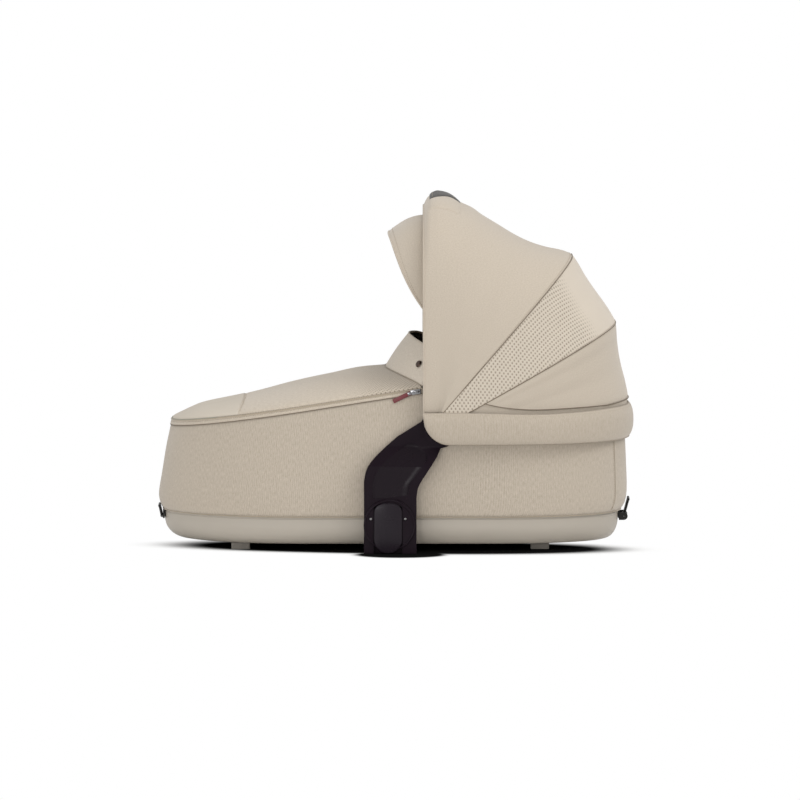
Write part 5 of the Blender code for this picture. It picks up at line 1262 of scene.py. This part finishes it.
visor_shape = lay_sheet(120, 60, visor_point, (0.42, 0.075))
visor = make_piece("visor_cloth", face_out(visor_shape, (0, 0, HUB_Z)), HOOD_CLOTH)
cut_sheet(thicken(visor, 0.0022))
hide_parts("visor")
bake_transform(visor)
wire_path = [visor_point(step / 100, 1.0, 0.001) for step in range(101)]
visor_piping = make_piece("visor_piping", lay_cord(wire_path, 0.0020, 8), HOOD_CLOTH)
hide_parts("visor_wire")
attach(visor_piping, "visor_wire")
inset_path = [visor_point(0.03 + 0.94 * step / 100, 0.90, -0.0002) for step in range(101)]
visor_row = run_stitches(inset_path, *STITCH)
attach(make_piece("visor_stitches", visor_row, THREAD), "visor_wire")

# %% [markdown]
# ## Handle on the bow
# The handle is a thin foam pad in the hood's own cloth, sewn on over the bow, with a dark stitched strip where the
# hand lies. From the side only the strip's edge shows. Both are laid on the front panel's own arches, so they follow
# its roll from the front edge to the back of the crown.

# %% Handle and grip
HANDLE_HEIGHT, HANDLE_REACH, GRIP_REACH = 0.0030, math.radians(17), math.radians(9)
HANDLE_FRONT, HANDLE_BACK, GRIP_HEIGHT = 0.070, 0.292, 0.0034
# How much narrower the grip is at its back, and from where it narrows
GRIP_TAPER, TAPER_FROM = 0.8, 0.3


def raised(over, side, fullness):
    """Height share of a pad that is full in its middle and falls off near its edges."""
    return math.sqrt(max(0.0, (1 - abs(2 * over - 1) ** fullness) * (1 - abs(side) ** (2 * fullness))))


def handle_point(across, over, lift=-0.0010):
    """A point on the pad: across the cot along the bow, and over it from front to back."""
    side = 2 * across - 1
    height = lift + (HANDLE_HEIGHT + 0.0010) * raised(over, side, 4)
    along = HANDLE_FRONT + (HANDLE_BACK - HANDLE_FRONT) * over
    return arch_point(FRONT_PANEL_SHARES, along, math.pi / 2 + HANDLE_REACH * side, height)


def grip_point(across, over, lift=0.0):
    """A point on the grip strip."""
    side = 2 * across - 1
    pad = (HANDLE_HEIGHT + 0.0010) * raised(over, side * GRIP_REACH / HANDLE_REACH, 4) - 0.0010
    height = lift + pad + GRIP_HEIGHT * raised(over, side, 3) - 0.0004
    along = HANDLE_FRONT + (HANDLE_BACK - HANDLE_FRONT) * (0.005 + 0.99 * over)
    reach = GRIP_REACH * (1 - GRIP_TAPER * eased((over - TAPER_FROM) / (1 - TAPER_FROM)))
    return arch_point(FRONT_PANEL_SHARES, along, math.pi / 2 + reach * side, height)


handle_shape = lay_sheet(80, 40, handle_point, (0.24, 0.07))
handle = make_piece("handle_cover", face_out(handle_shape, (HUB_X, 0, HUB_Z)), HOOD_CLOTH)
thicken(handle, 0.0009)
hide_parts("handle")
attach(handle, "hood_bow")
grip_shape = lay_sheet(80, 44, grip_point, (0.17, 0.07))
grip = make_piece("grip_strip", face_out(grip_shape, (HUB_X, 0, HUB_Z)), GRIP)
thicken(grip, 0.0010)
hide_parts("handle_grip")
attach(grip, "hood_bow")
for number, over in enumerate((0.12, 0.80), 1):
    path = [grip_point(0.05 + 0.90 * step / 60, over, 0.0001) for step in range(61)]
    row = make_piece(f"grip_stitches_{number}", run_stitches(path, 0.005, 0.0034, 0.0004), THREAD)
    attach(row, "hood_bow")

# %% [markdown]
# ## Padded band
# A foam band wraps the head end over the hub and takes up the hem's edge. It is fuller in the middle than at its two
# seams, and its front ends are rounded. Padding shows as fullness and as short puckers where the cloth is gathered
# at the seams.

# %% Padded band
BAND_FRONT_X, BAND_THICKNESS = band_box_low.x, 0.007
BAND_LOW = band_box_low.z
BAND_CORNER_X, BAND_CORNER_Z = 0.047, 0.050
BAND_OUTER_Y, BAND_OUTER_X = band_box_high.y, band_box_high.x
BAND_ROUND_STEPS, BAND_AROUND_STEPS = 300, 44
BAND_BELLY, BAND_TUCK = 0.0028, 0.0030
# Powers that square the cross section outwards and upwards, share of the length that rounds an end, and the puckers
SQUARE_OUT, SQUARE_UP, END_SHARE, PUCKER_DEPTH, PUCKER_SIZE = 0.7, 0.85, 0.006, 0.0006, 0.012


def band_plan(across, inset):
    """A point of the band's plan, from its front end at -Y round the head to its front end at +Y."""
    half, head = BAND_OUTER_Y - inset, BAND_OUTER_X - inset - STRAIGHT_HALF
    arc, side = quarter(head, half), STRAIGHT_HALF - BAND_FRONT_X
    walked = (across - 0.5) * 2 * (arc + side)
    sign = 1 if walked > 0 else -1
    walked = abs(walked)
    if walked < arc:
        x, y = head_corner(math.pi / 2 * walked / arc, head, half)
        return x, sign * y
    return STRAIGHT_HALF - (walked - arc), sign * half


def band_low(x):
    """Lower edge of the band, rounded up at its front corner."""
    part = min(1.0, max(0.0, 1 - (x - BAND_FRONT_X) / BAND_CORNER_X))
    return BAND_LOW + BAND_CORNER_Z * (1 - math.sqrt(1 - part * part))


def band_surface(across, around):
    """A point on the band: across round the head end, around its cross section."""
    turn = 2 * math.pi * around
    out_share, up_share = math.cos(turn), math.sin(turn)
    out_share = math.copysign(abs(out_share) ** SQUARE_OUT, out_share)
    up_share = math.copysign(abs(up_share) ** SQUARE_UP, up_share)
    x, _ = band_plan(across, 0.0)
    low, high = band_low(x), band_top(x)
    end = min(1.0, min(across, 1 - across) / END_SHARE)
    puff = (BAND_THICKNESS / 2 + 0.0006) * math.sqrt(max(0.04, 1 - (1 - end) ** 2))
    belly = BAND_TUCK * up_share**4 - BAND_BELLY * (1 - up_share**2) if out_share > 0 else 0.0
    x, y = band_plan(across, BAND_THICKNESS / 2 - 0.0006 - puff * out_share + belly)
    middle, half = (high + low) / 2, (high - low) / 2
    pucker = PUCKER_DEPTH * ripple(x, y, 0.0, PUCKER_SIZE, 11.0) * abs(up_share) ** 3
    return x, y + math.copysign(pucker, y), middle + half * up_share


band_round = 2 * (quarter(BAND_OUTER_X - STRAIGHT_HALF, BAND_OUTER_Y) + STRAIGHT_HALF - BAND_FRONT_X)
padded_shape = lay_sheet(BAND_ROUND_STEPS, BAND_AROUND_STEPS, band_surface, (band_round, 0.125), wrap=True)
rim = [edge for edge in padded_shape.edges if edge.is_boundary]
bmesh.ops.holes_fill(padded_shape, edges=rim, sides=0)
bmesh.ops.recalc_face_normals(padded_shape, faces=padded_shape.faces)
padded_band = make_piece("padded_band", padded_shape, BAND_CLOTH, sharp=60)
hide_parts("hood_band")
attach(padded_band, "cot")


def band_edge_path(up, out):
    """A path along the band's outer face at a share of its height."""
    path = []
    for step in range(201):
        across = 0.004 + 0.992 * step / 200
        x, y = band_plan(across, -out)
        low = band_low(x)
        path.append((x, y, low + (band_top(x) - low) * up))
    return path


band_row = run_stitches(band_edge_path(0.93, -0.0012), *STITCH)
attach(make_piece("band_stitches", band_row, THREAD), "cot")

# %% [markdown]
# ## Liner and mattress
# Inside, a quilted cotton liner hangs from the rim, folds over the rim tube and reaches the board. The mattress is a
# foam core in a cotton cover with a welt round it. A small cloth simulation swells its cover, which gives the soft
# edges and shallow dents that a modelled box lacks.

# %% Liner
LINER_INSET, LINER_THICKNESS, TUBE_DIAMETER = 0.0156, 0.003, 0.011
board_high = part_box("base_board")[1]
LINER_FOOT_X = WALL_FOOT_X + WALL_LEAN + LINER_INSET
LINER_HEAD_X = WALL_HEAD_X - WALL_LEAN * WALL_LEAN_SHARES[-1][2] - LINER_INSET
LINER_HALF = WALL_HALF - LINER_INSET
QUILT_PITCH, QUILT_DEPTH, FOLD_SHARE = 0.055, 0.0014, 0.94
RIM_CLEAR, FOLD_RISE = 0.0035, 0.0022


def liner_point(across, along):
    """A point on the liner: along from the board to the rim, and over the rim tube to the wall."""
    inset = LINER_THICKNESS / 2
    x, y = outline(across, LINER_FOOT_X + inset, LINER_HEAD_X - inset, LINER_HALF - inset)
    top, low = rim_height(x) - RIM_CLEAR, board_high.z + 0.0004
    if along < FOLD_SHARE:
        up = along / FOLD_SHARE
        lines = abs(math.sin(math.pi * across * WALL_ROUND * 0.93 / QUILT_PITCH)) ** 0.35
        puff = QUILT_DEPTH * (lines - 1) * math.sin(math.pi * up) ** 0.5
        away = Vector((x, y, 0.0)).normalized()
        return x - away.x * puff, y - away.y * puff, low + (top - low) * up
    over = (along - FOLD_SHARE) / (1 - FOLD_SHARE)
    reach = -(TUBE_DIAMETER + 0.002) * over
    x, y = outline(across, LINER_FOOT_X + reach, LINER_HEAD_X - reach, LINER_HALF - reach)
    return x, y, rim_height(x) - RIM_CLEAR + FOLD_RISE * math.sin(math.pi * over)


liner_shape = lay_sheet(300, 44, liner_point, (WALL_ROUND * 0.95, 0.23), wrap=True)
liner = make_piece("cotton_liner", face_out(liner_shape, (0, 0, 0.15)), COTTON)
cut_sheet(thicken(liner, 0.0014))
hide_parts("inner_liner")
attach(liner, "cot")

# %% [markdown]
# ### Mattress
# The mattress follows the liner's outline a little inside it. Its cover starts as a wrapped grid round a slab with
# full edges, and the simulation then swells it.

# %% Mattress
MATTRESS_CLEAR, MATTRESS_SWELL, MATTRESS_EDGE = 0.0045, 0.004, 0.012
MATTRESS_ROOM, MATTRESS_INNER, MATTRESS_CROWN, EDGE_SHARE = 0.007, 0.16, 0.002, 0.6
# Shares of the way at which the base ends and the top starts
BASE_END, TOP_START = 0.3, 0.6
mattress_low, mattress_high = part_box("mattress")


def mattress_point(across, along):
    """A point on the mattress core: along from the middle of its base, up its side to the middle of its top."""
    low, high = mattress_low.z, mattress_high.z - MATTRESS_ROOM
    if along < BASE_END:
        inset, z = MATTRESS_INNER * (1 - along / BASE_END) + MATTRESS_EDGE * EDGE_SHARE, low
    elif along < TOP_START:
        angle = math.pi * (along - BASE_END) / (TOP_START - BASE_END)
        inset = MATTRESS_EDGE * (1 - math.sin(angle)) * EDGE_SHARE
        z = low + (high - low) * (1 - math.cos(angle)) / 2
    else:
        inset = MATTRESS_INNER * (along - TOP_START) / (1 - TOP_START) + MATTRESS_EDGE * EDGE_SHARE
        z = high + MATTRESS_CROWN * eased((along - TOP_START) / 0.3)
    inset += MATTRESS_CLEAR
    x, y = outline(across, LINER_FOOT_X + inset, LINER_HEAD_X - inset, LINER_HALF - inset)
    return x, y, z


def swell(piece, cap, pressure=4.0, voxel=0.006, frames=20):
    """Swells a cover with a cloth simulation, holds each point within a cap, and keeps the result as the mesh."""
    remesh = piece.modifiers.new("even", "REMESH")
    remesh.mode, remesh.voxel_size = "VOXEL", voxel
    bake_modifiers(piece)
    start = [vertex.co.copy() for vertex in piece.data.vertices]
    cover = piece.modifiers.new("cover", "CLOTH")
    cover.settings.use_pressure = True
    cover.settings.uniform_pressure_force = pressure
    cover.settings.effector_weights.gravity = 0.0
    for frame_number in range(1, frames + 1):
        scene.frame_set(frame_number)
    bake_modifiers(piece)
    scene.frame_set(1)
    for vertex, before in zip(piece.data.vertices, start):
        move = vertex.co - before
        if move.length > cap:
            vertex.co = before + move * (cap / move.length)
    piece.data.shade_smooth()
    return piece


mattress_shape = lay_sheet(120, 40, mattress_point, (WALL_ROUND * 0.9, 0.4), wrap=True)
bmesh.ops.holes_fill(mattress_shape, edges=[edge for edge in mattress_shape.edges if edge.is_boundary], sides=0)
mattress = make_piece("mattress_cover", face_out(mattress_shape, (0, 0, 0.07)), COTTON)
swell(mattress, MATTRESS_SWELL)
if not mattress.data.materials:
    mattress.data.materials.append(COTTON)
cloth_map = mattress.data.uv_layers.get("cloth") or mattress.data.uv_layers.new(name="cloth")
for corner, loop in zip(cloth_map.data, mattress.data.loops):
    place = mattress.data.vertices[loop.vertex_index].co
    corner.uv = (place.x, place.y + place.z)
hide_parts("mattress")
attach(mattress, "cot")
welt_path = []
clear = MATTRESS_CLEAR
for step in range(201):
    x, y = outline(step / 200, LINER_FOOT_X + clear, LINER_HEAD_X - clear, LINER_HALF - clear)
    welt_path.append((x, y, (mattress_low.z + mattress_high.z) / 2 + 0.004))
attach(make_piece("mattress_welt", lay_cord(welt_path, 0.0016, 6), COTTON), "cot")
print("mattress faces:", len(mattress.data.polygons))

# %% [markdown]
# ## Side arms and hardware
# The arms, the adaptor plates and the catch brackets are hard mouldings whose solids already have the right shape.
# A copy of each has its doubles merged and its edges rounded by a bevel, because a moulding never has a knife edge
# and the thin line of light along a rounded edge is what makes it read as plastic. What the solids leave plain is
# modelled: the dished floor of the arm's inset, the ring on the plate, the button, the screw heads and the handles
# of the catches, each of which is a thin plate with a roll at both ends.

# %% Rounded mouldings


def round_edges(node_name, finish, width, new_name, angle=35):
    """Stands a merged, bevelled copy in for a CAD node."""
    shape = bmesh.new()
    shape.from_mesh(nodes[node_name].data)
    bmesh.ops.remove_doubles(shape, verts=shape.verts, dist=WELD)
    bmesh.ops.dissolve_limit(
        shape, angle_limit=math.radians(0.5), verts=shape.verts, edges=shape.edges, use_dissolve_boundaries=False
    )
    piece = make_piece(new_name, shape, finish, sharp=angle)
    bevel = piece.modifiers.new("rounding", "BEVEL")
    bevel.width, bevel.segments, bevel.profile = width, 2, 0.5
    bevel.limit_method, bevel.angle_limit = "ANGLE", math.radians(angle)
    bevel.harden_normals = True
    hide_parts(node_name)
    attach(piece, nodes[node_name]["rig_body"])
    return piece


ARM_FACE, ARM_PLATE_FACE, ARM_SLOPE_LOW, ARM_SLOPE_HIGH = 0.2165, 0.2003, 0.150, 0.183
PANEL_DEPTH, PANEL_EASE_HEAD, PANEL_EASE_FOOT, PANEL_BULGE = 0.0010, 0.0110, 0.0045, 0.006
# Shares of the panel's height over which its top edge rises and from which it bulges
PANEL_EASE_TOP, PANEL_BULGE_FROM = 0.06, 0.7
# Share of the way up the inset panel, then X and Z of its foot-side edge and of its head-side edge
PANEL_EDGES = (
    (0.00, -0.0379, 0.0950, 0.0212, 0.1003),
    (0.25, -0.0379, 0.1200, 0.0243, 0.1180),
    (0.50, -0.0262, 0.1486, 0.0360, 0.1340),
    (0.75, -0.0030, 0.1700, 0.0525, 0.1580),
    (1.00, 0.0215, 0.1868, 0.0540, 0.1712),
)


def arm_face(z):
    """Distance of the arm's outer face from the middle plane."""
    part = min(1.0, max(0.0, (z - ARM_SLOPE_LOW) / (ARM_SLOPE_HIGH - ARM_SLOPE_LOW)))
    return ARM_FACE + (ARM_PLATE_FACE - ARM_FACE) * part


def panel_point(across, along, side):
    """A point on the floor of the arm's inset panel, which sweeps up to the face at its edges."""
    edges = [read_shares(PANEL_EDGES, along, column) for column in (1, 2, 3, 4)]
    x, z = edges[0] + (edges[2] - edges[0]) * across, edges[1] + (edges[3] - edges[1]) * across
    z += PANEL_BULGE * math.sin(math.pi * across) * eased((along - PANEL_BULGE_FROM) / (1 - PANEL_BULGE_FROM))
    width = math.hypot(edges[2] - edges[0], edges[3] - edges[1])
    rise = max(
        1 - eased((1 - across) * width / PANEL_EASE_HEAD),
        1 - eased(across * width / PANEL_EASE_FOOT),
        1 - eased((1 - along) / PANEL_EASE_TOP),
    )
    return x, side * (arm_face(z) - PANEL_DEPTH + 0.00006 + (PANEL_DEPTH - 0.0001) * rise), z


BUTTON_HALF, BUTTON_SHOULDER, BUTTON_FULLNESS, CAP_DEPTH = 0.024, 0.068, 2.6, 0.0042


def button_cap(side, low, high):
    """The release button: a capsule outline with a round foot and a fuller head, extruded and bevelled."""
    cap = bmesh.new()
    bmesh.ops.create_circle(cap, cap_ends=True, radius=1.0, segments=72)
    middle_x, foot_z = (low.x + high.x) / 2, low.z + BUTTON_HALF
    for vertex in cap.verts:
        across, up = vertex.co.x, vertex.co.y
        if up > 0:
            across = math.copysign(abs(across) ** (2 / BUTTON_FULLNESS), across)
            up = up ** (2 / BUTTON_FULLNESS)
            z = BUTTON_SHOULDER + (high.z - BUTTON_SHOULDER) * up
        else:
            z = foot_z + BUTTON_HALF * up
        vertex.co = (middle_x + BUTTON_HALF * across, 0.0, z)
    made = bmesh.ops.extrude_face_region(cap, geom=cap.faces[:])
    front = [item for item in made["geom"] if isinstance(item, bmesh.types.BMVert)]
    outer_y = high.y if side > 0 else low.y
    bmesh.ops.translate(cap, verts=front, vec=(0.0, side * CAP_DEPTH, 0.0))
    bmesh.ops.translate(cap, verts=cap.verts, vec=(0.0, outer_y - side * CAP_DEPTH, 0.0))
    rim = [edge for edge in cap.edges if all(abs(v.co.y - outer_y) < WELD for v in edge.verts)]
    bmesh.ops.bevel(cap, geom=rim, offset=0.0012, segments=3, profile=0.5, affect="EDGES", material=-1)
    return face_out(cap, (middle_x, outer_y - side * CAP_DEPTH / 2, (low.z + high.z) / 2))


# Distance of the plate's ring from its rim, and the ring's radius
RING_INSET, RING_CORD = 0.0020, 0.0014
# Radius of a screw's head, its flatness, and how far its middle lies behind its face
SCREW_RADIUS, SCREW_FLATNESS, SCREW_SEAT = 0.0023, 0.55, 0.0014

for word, side in SIDES.items():
    round_edges(f"side_arm_{word}", ARM, 0.0009, f"arm_moulding_{word}")
    round_edges(f"adaptor_disc_{word}", ARM, 0.0004, f"adaptor_plate_{word}")
    dish = bmesh.new()
    bmesh.ops.create_grid(dish, x_segments=60, y_segments=60, size=0.5)
    for vertex in dish.verts:
        vertex.co = panel_point(vertex.co.x + 0.5, vertex.co.y + 0.5, side)
    panel = make_piece(f"arm_panel_{word}", face_out(dish, (0, 0, 0.14)), ARM_GLOSS)
    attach(panel, "cot")
    disc_low, disc_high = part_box(f"adaptor_disc_{word}")
    disc_x = (disc_low.x + disc_high.x) / 2
    ring_y = side * (max(abs(disc_low.y), abs(disc_high.y)) - 0.0012)
    reach = (disc_high.x - disc_low.x) / 2 - RING_INSET
    ring_z = disc_high.z - reach - RING_INSET
    ring_path = []
    for step in range(97):
        angle = 2 * math.pi * step / 96
        ring_path.append((disc_x + reach * math.cos(angle), ring_y, ring_z + reach * math.sin(angle)))
    kept = [place for place in ring_path if place[2] > disc_low.z - 0.001]
    start = next((n for n, place in enumerate(kept[1:], 1) if (Vector(place) - Vector(kept[n - 1])).length > 0.01), 0)
    rolled = kept[start:] + kept[1:start] if start else kept
    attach(make_piece(f"disc_ring_{word}", lay_cord(rolled, RING_CORD, 8), ARM_GLOSS), "cot")
    low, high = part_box(f"release_button_{word}")
    button = make_piece(f"button_cap_{word}", button_cap(side, low, high), ARM_INSET, sharp=50)
    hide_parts(f"release_button_{word}")
    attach(button, f"release_button_{word}")
    for number in (1, 2):
        low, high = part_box(f"adaptor_screw_{word}_{number}")
        middle = (low + high) / 2
        head = bmesh.new()
        seat = side * (max(abs(low.y), abs(high.y)) - SCREW_SEAT)
        place = Matrix.Translation((middle.x, seat, middle.z)) @ Matrix.Diagonal((1.0, SCREW_FLATNESS, 1.0, 1.0))
        bmesh.ops.create_uvsphere(head, u_segments=20, v_segments=12, radius=SCREW_RADIUS, matrix=place)
        screw = make_piece(f"screw_{word}_{number}", head, STEEL)
        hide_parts(f"adaptor_screw_{word}_{number}")
        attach(screw, "cot")

CATCH_WIDTH, CATCH_THICKNESS, CATCH_KNOB, CATCH_SETBACK = 0.046, 0.0034, 0.0022, 0.012
# End of the cot, its sign along X, X and Z of the handle's top, and radius of the barrel on its pin
CATCHES = (("foot", -1, 0.4072, 0.0652, 0.0024), ("head", 1, 0.4042, 0.0765, 0.0052))
for end, sign, top_x, top_z, barrel in CATCHES:
    round_edges(f"{end}_catch_bracket", CATCH, 0.0004, f"{end}_catch_plate", angle=50)
    pin_box_low, pin_box_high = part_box(f"{end}_catch_pin")
    foot_point = (pin_box_low + pin_box_high) / 2
    top_point = Vector((sign * top_x, 0.0, top_z))
    way = top_point - foot_point
    turn = Matrix.Rotation(math.atan2(way.x, way.z), 4, "Y")
    size = (CATCH_THICKNESS, CATCH_WIDTH, way.length)
    plate = rounded_block(size, CATCH_THICKNESS / 3, middle=(0, 0, way.length / 2))
    across = Matrix.Rotation(math.pi / 2, 4, "X")
    rolls = ((barrel, 0.0, CATCH_WIDTH - CATCH_SETBACK), (CATCH_KNOB, way.length, CATCH_WIDTH))
    for radius, height, width in rolls:
        knob = bmesh.new()
        place = Matrix.Translation((0, 0, height)) @ across
        bmesh.ops.create_cone(
            knob, cap_ends=True, segments=20, radius1=radius, radius2=radius, depth=width, matrix=place
        )
        join_shapes(plate, knob)
    bmesh.ops.transform(plate, matrix=Matrix.Translation(foot_point) @ turn, verts=plate.verts)
    handle_piece = make_piece(f"{end}_catch_handle", face_out(plate, foot_point), CATCH)
    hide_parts(f"{end}_catch_lever")
    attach(handle_piece, f"{end}_catch")

# %% [markdown]
# ### Solids that stay
# The parts that are hidden, or that are right as they are, keep their solids. They only get a finish, and a Weld
# modifier, so that their shading is even.

# %% Finishes on the solids that stay
KEPT = {
    "base_board": BOARD,
    "rim_tube": STEEL,
    "hood_bow": ARM,
    "rib_middle": ARM,
    "rib_rear": ARM,
    "foot_catch_pin": STEEL,
    "head_catch_pin": STEEL,
}
for word in SIDES:
    KEPT[f"hub_pin_{word}"] = STEEL
    KEPT[f"button_spring_{word}"] = STEEL
    for end in ("foot", "head"):
        KEPT[f"rubber_foot_{end}_{word}"] = RUBBER
for name, finish in KEPT.items():
    nodes[name].data.materials.clear()
    nodes[name].data.materials.append(finish)
    weld = nodes[name].modifiers.new("weld", "WELD")
    weld.merge_threshold = WELD

# %% [markdown]
# ## Stage, lights and camera
# The photograph is a product shot: a white sweep, a broad soft light from the front and above, and a long lens a
# little above the cot. The floor is matt and pale, with a painted dark shadow close under the cot and under the near
# arm that the camera and reflections see, and it turns to plain white further out, so that no horizon shows.

# %% Stage
FLOOR_SIZE = 14.0
# Middle, half size and turn of the painted shadow under the cot and of the painted shadow under the near arm
PAINTED_SHADOWS = (((0.006, -0.096), (0.49, 0.16), math.radians(-7)), ((0.010, -0.235), (0.100, 0.075), 0.0))
# Shares of the painted shadow's reach at which the painted contact shade ends and the plain white starts
SHADE_END_SHARE, FADE_START_SHARE = 0.92, 0.68


def floor_with_painted_shadow():
    """A pale floor that takes the lamps' shadows, with a painted dark shadow close under the cot, and turns to plain
    white around it.
    """
    finish, shader = start_finish("white_sweep_with_painted_shadow", "#F6F6F6", 0.8, Specular_IOR_Level=0.0)
    place = add_node(finish, "ShaderNodeTexCoord").outputs["Object"]
    reaches = []
    for middle, half, turn in PAINTED_SHADOWS:
        squeezed = add_node(
            finish,
            "ShaderNodeMapping",
            {"Vector": place, "Location": (*middle, 0.0), "Rotation": (0.0, 0.0, turn), "Scale": (*half, 1.0)},
            vector_type="TEXTURE",
        )
        length = add_node(finish, "ShaderNodeVectorMath", {0: squeezed.outputs["Vector"]}, operation="LENGTH")
        reaches.append(length.outputs["Value"])
    reach = add_node(finish, "ShaderNodeMath", {0: reaches[0], 1: reaches[1]}, operation="MINIMUM").outputs[0]
    shade = add_node(
        finish,
        "ShaderNodeMapRange",
        {"Value": reach, "From Min": FADE_START_SHARE, "From Max": SHADE_END_SHARE},
        interpolation_type="SMOOTHSTEP",
    ).outputs["Result"]
    away = add_node(
        finish,
        "ShaderNodeMapRange",
        {"Value": reach, "From Min": FADE_START_SHARE, "From Max": 1.0},
        interpolation_type="SMOOTHSTEP",
    ).outputs["Result"]
    ray = add_node(finish, "ShaderNodeLightPath")
    looks = {0: ray.outputs["Is Camera Ray"], 1: ray.outputs["Is Glossy Ray"]}
    seen = add_node(finish, "ShaderNodeMath", looks, operation="MAXIMUM").outputs[0]
    unseen = add_node(finish, "ShaderNodeMath", {0: 1.0, 1: seen}, operation="SUBTRACT").outputs[0]
    lit = add_node(finish, "ShaderNodeMath", {0: shade, 1: unseen}, operation="MAXIMUM").outputs[0]
    # Painted shadow: inside the ellipses the floor's colour turns near black where the camera or a reflection sees it
    ground = add_node(finish, "ShaderNodeMix", {0: lit, 6: linear("#141414"), 7: linear("#F6F6F6")}, data_type="RGBA")
    wire(finish, ground.outputs[2], shader, "Base Color")
    share = add_node(finish, "ShaderNodeMath", {0: away, 1: seen}, operation="MULTIPLY").outputs[0]
    white = add_node(finish, "ShaderNodeEmission", {"Color": (1.0, 1.0, 1.0, 1.0), "Strength": 1.0})
    mix = add_node(
        finish, "ShaderNodeMixShader", {0: share, 1: shader.outputs["BSDF"], 2: white.outputs["Emission"]}
    )
    output = finish.node_tree.nodes["Material Output"]
    finish.node_tree.links.new(mix.outputs["Shader"], output.inputs["Surface"])
    return finish


sweep = bmesh.new()
bmesh.ops.create_grid(sweep, x_segments=1, y_segments=1, size=FLOOR_SIZE / 2)
floor_mesh = bpy.data.meshes.new("floor")
sweep.to_mesh(floor_mesh)
sweep.free()
floor = bpy.data.objects.new("floor", floor_mesh)
floor.data.materials.append(floor_with_painted_shadow())
scene.collection.objects.link(floor)

world = bpy.data.worlds.new("studio")
scene.world = world
world.use_nodes = True
AMBIENT, WHITE = 0.585, 1.0
ground = world.node_tree.nodes["Background"]
ground.inputs["Color"].default_value = (1.0, 1.0, 1.0, 1.0)
ray = world.node_tree.nodes.new("ShaderNodeLightPath")
either = world.node_tree.nodes.new("ShaderNodeMath")
either.operation = "MAXIMUM"
world.node_tree.links.new(ray.outputs["Is Camera Ray"], either.inputs[0])
world.node_tree.links.new(ray.outputs["Is Transmission Ray"], either.inputs[1])
level = world.node_tree.nodes.new("ShaderNodeMapRange")
level.inputs["To Min"].default_value = AMBIENT
level.inputs["To Max"].default_value = WHITE
world.node_tree.links.new(either.outputs[0], level.inputs["Value"])
world.node_tree.links.new(level.outputs["Result"], ground.inputs["Strength"])


def soft_light(name, place, target, size, power):
    """A square area lamp that faces a target."""
    lamp = bpy.data.lights.new(name, "AREA")
    lamp.shape, lamp.size, lamp.energy = "SQUARE", size, power
    light = bpy.data.objects.new(name, lamp)
    light.location = place
    light.rotation_euler = (Vector(target) - Vector(place)).to_track_quat("-Z", "Y").to_euler()
    scene.collection.objects.link(light)
    return light


soft_light("key", (3.0, -1.8, 2.6), (0, 0, 0.25), 2.0, 52)
soft_light("fill", (-2.4, -2.4, 1.0), (0, 0, 0.25), 2.0, 18)
soft_light("strip", (-0.95, -3.5, 0.60), (0, 0, 0.2), 0.35, 14)
soft_light("top", (0.3, -0.3, 3.2), (0, 0, 0.3), 1.6, 26)

# %% [markdown]
# ### Camera
# A long lens far away gives the nearly parallel view of a product shot, and it stands a few degrees above the cot.
# The Standard view keeps the white of the sweep as plain white.

# %% Camera
CAMERA_DISTANCE, CAMERA_RISE, CAMERA_LENS = 24.0, math.radians(4.7), 624.0
CAMERA_TARGET = Vector((0.009, 0.0, 0.247))
camera = bpy.data.objects.new("camera", bpy.data.cameras.new("camera"))
camera.data.lens = CAMERA_LENS
camera.data.clip_end = 100.0
camera.location = CAMERA_TARGET + CAMERA_DISTANCE * Vector((0.0, -math.cos(CAMERA_RISE), math.sin(CAMERA_RISE)))
camera.rotation_euler = (CAMERA_TARGET - camera.location).to_track_quat("-Z", "Y").to_euler()
scene.collection.objects.link(camera)
scene.camera = camera
scene.view_settings.view_transform = "Standard"
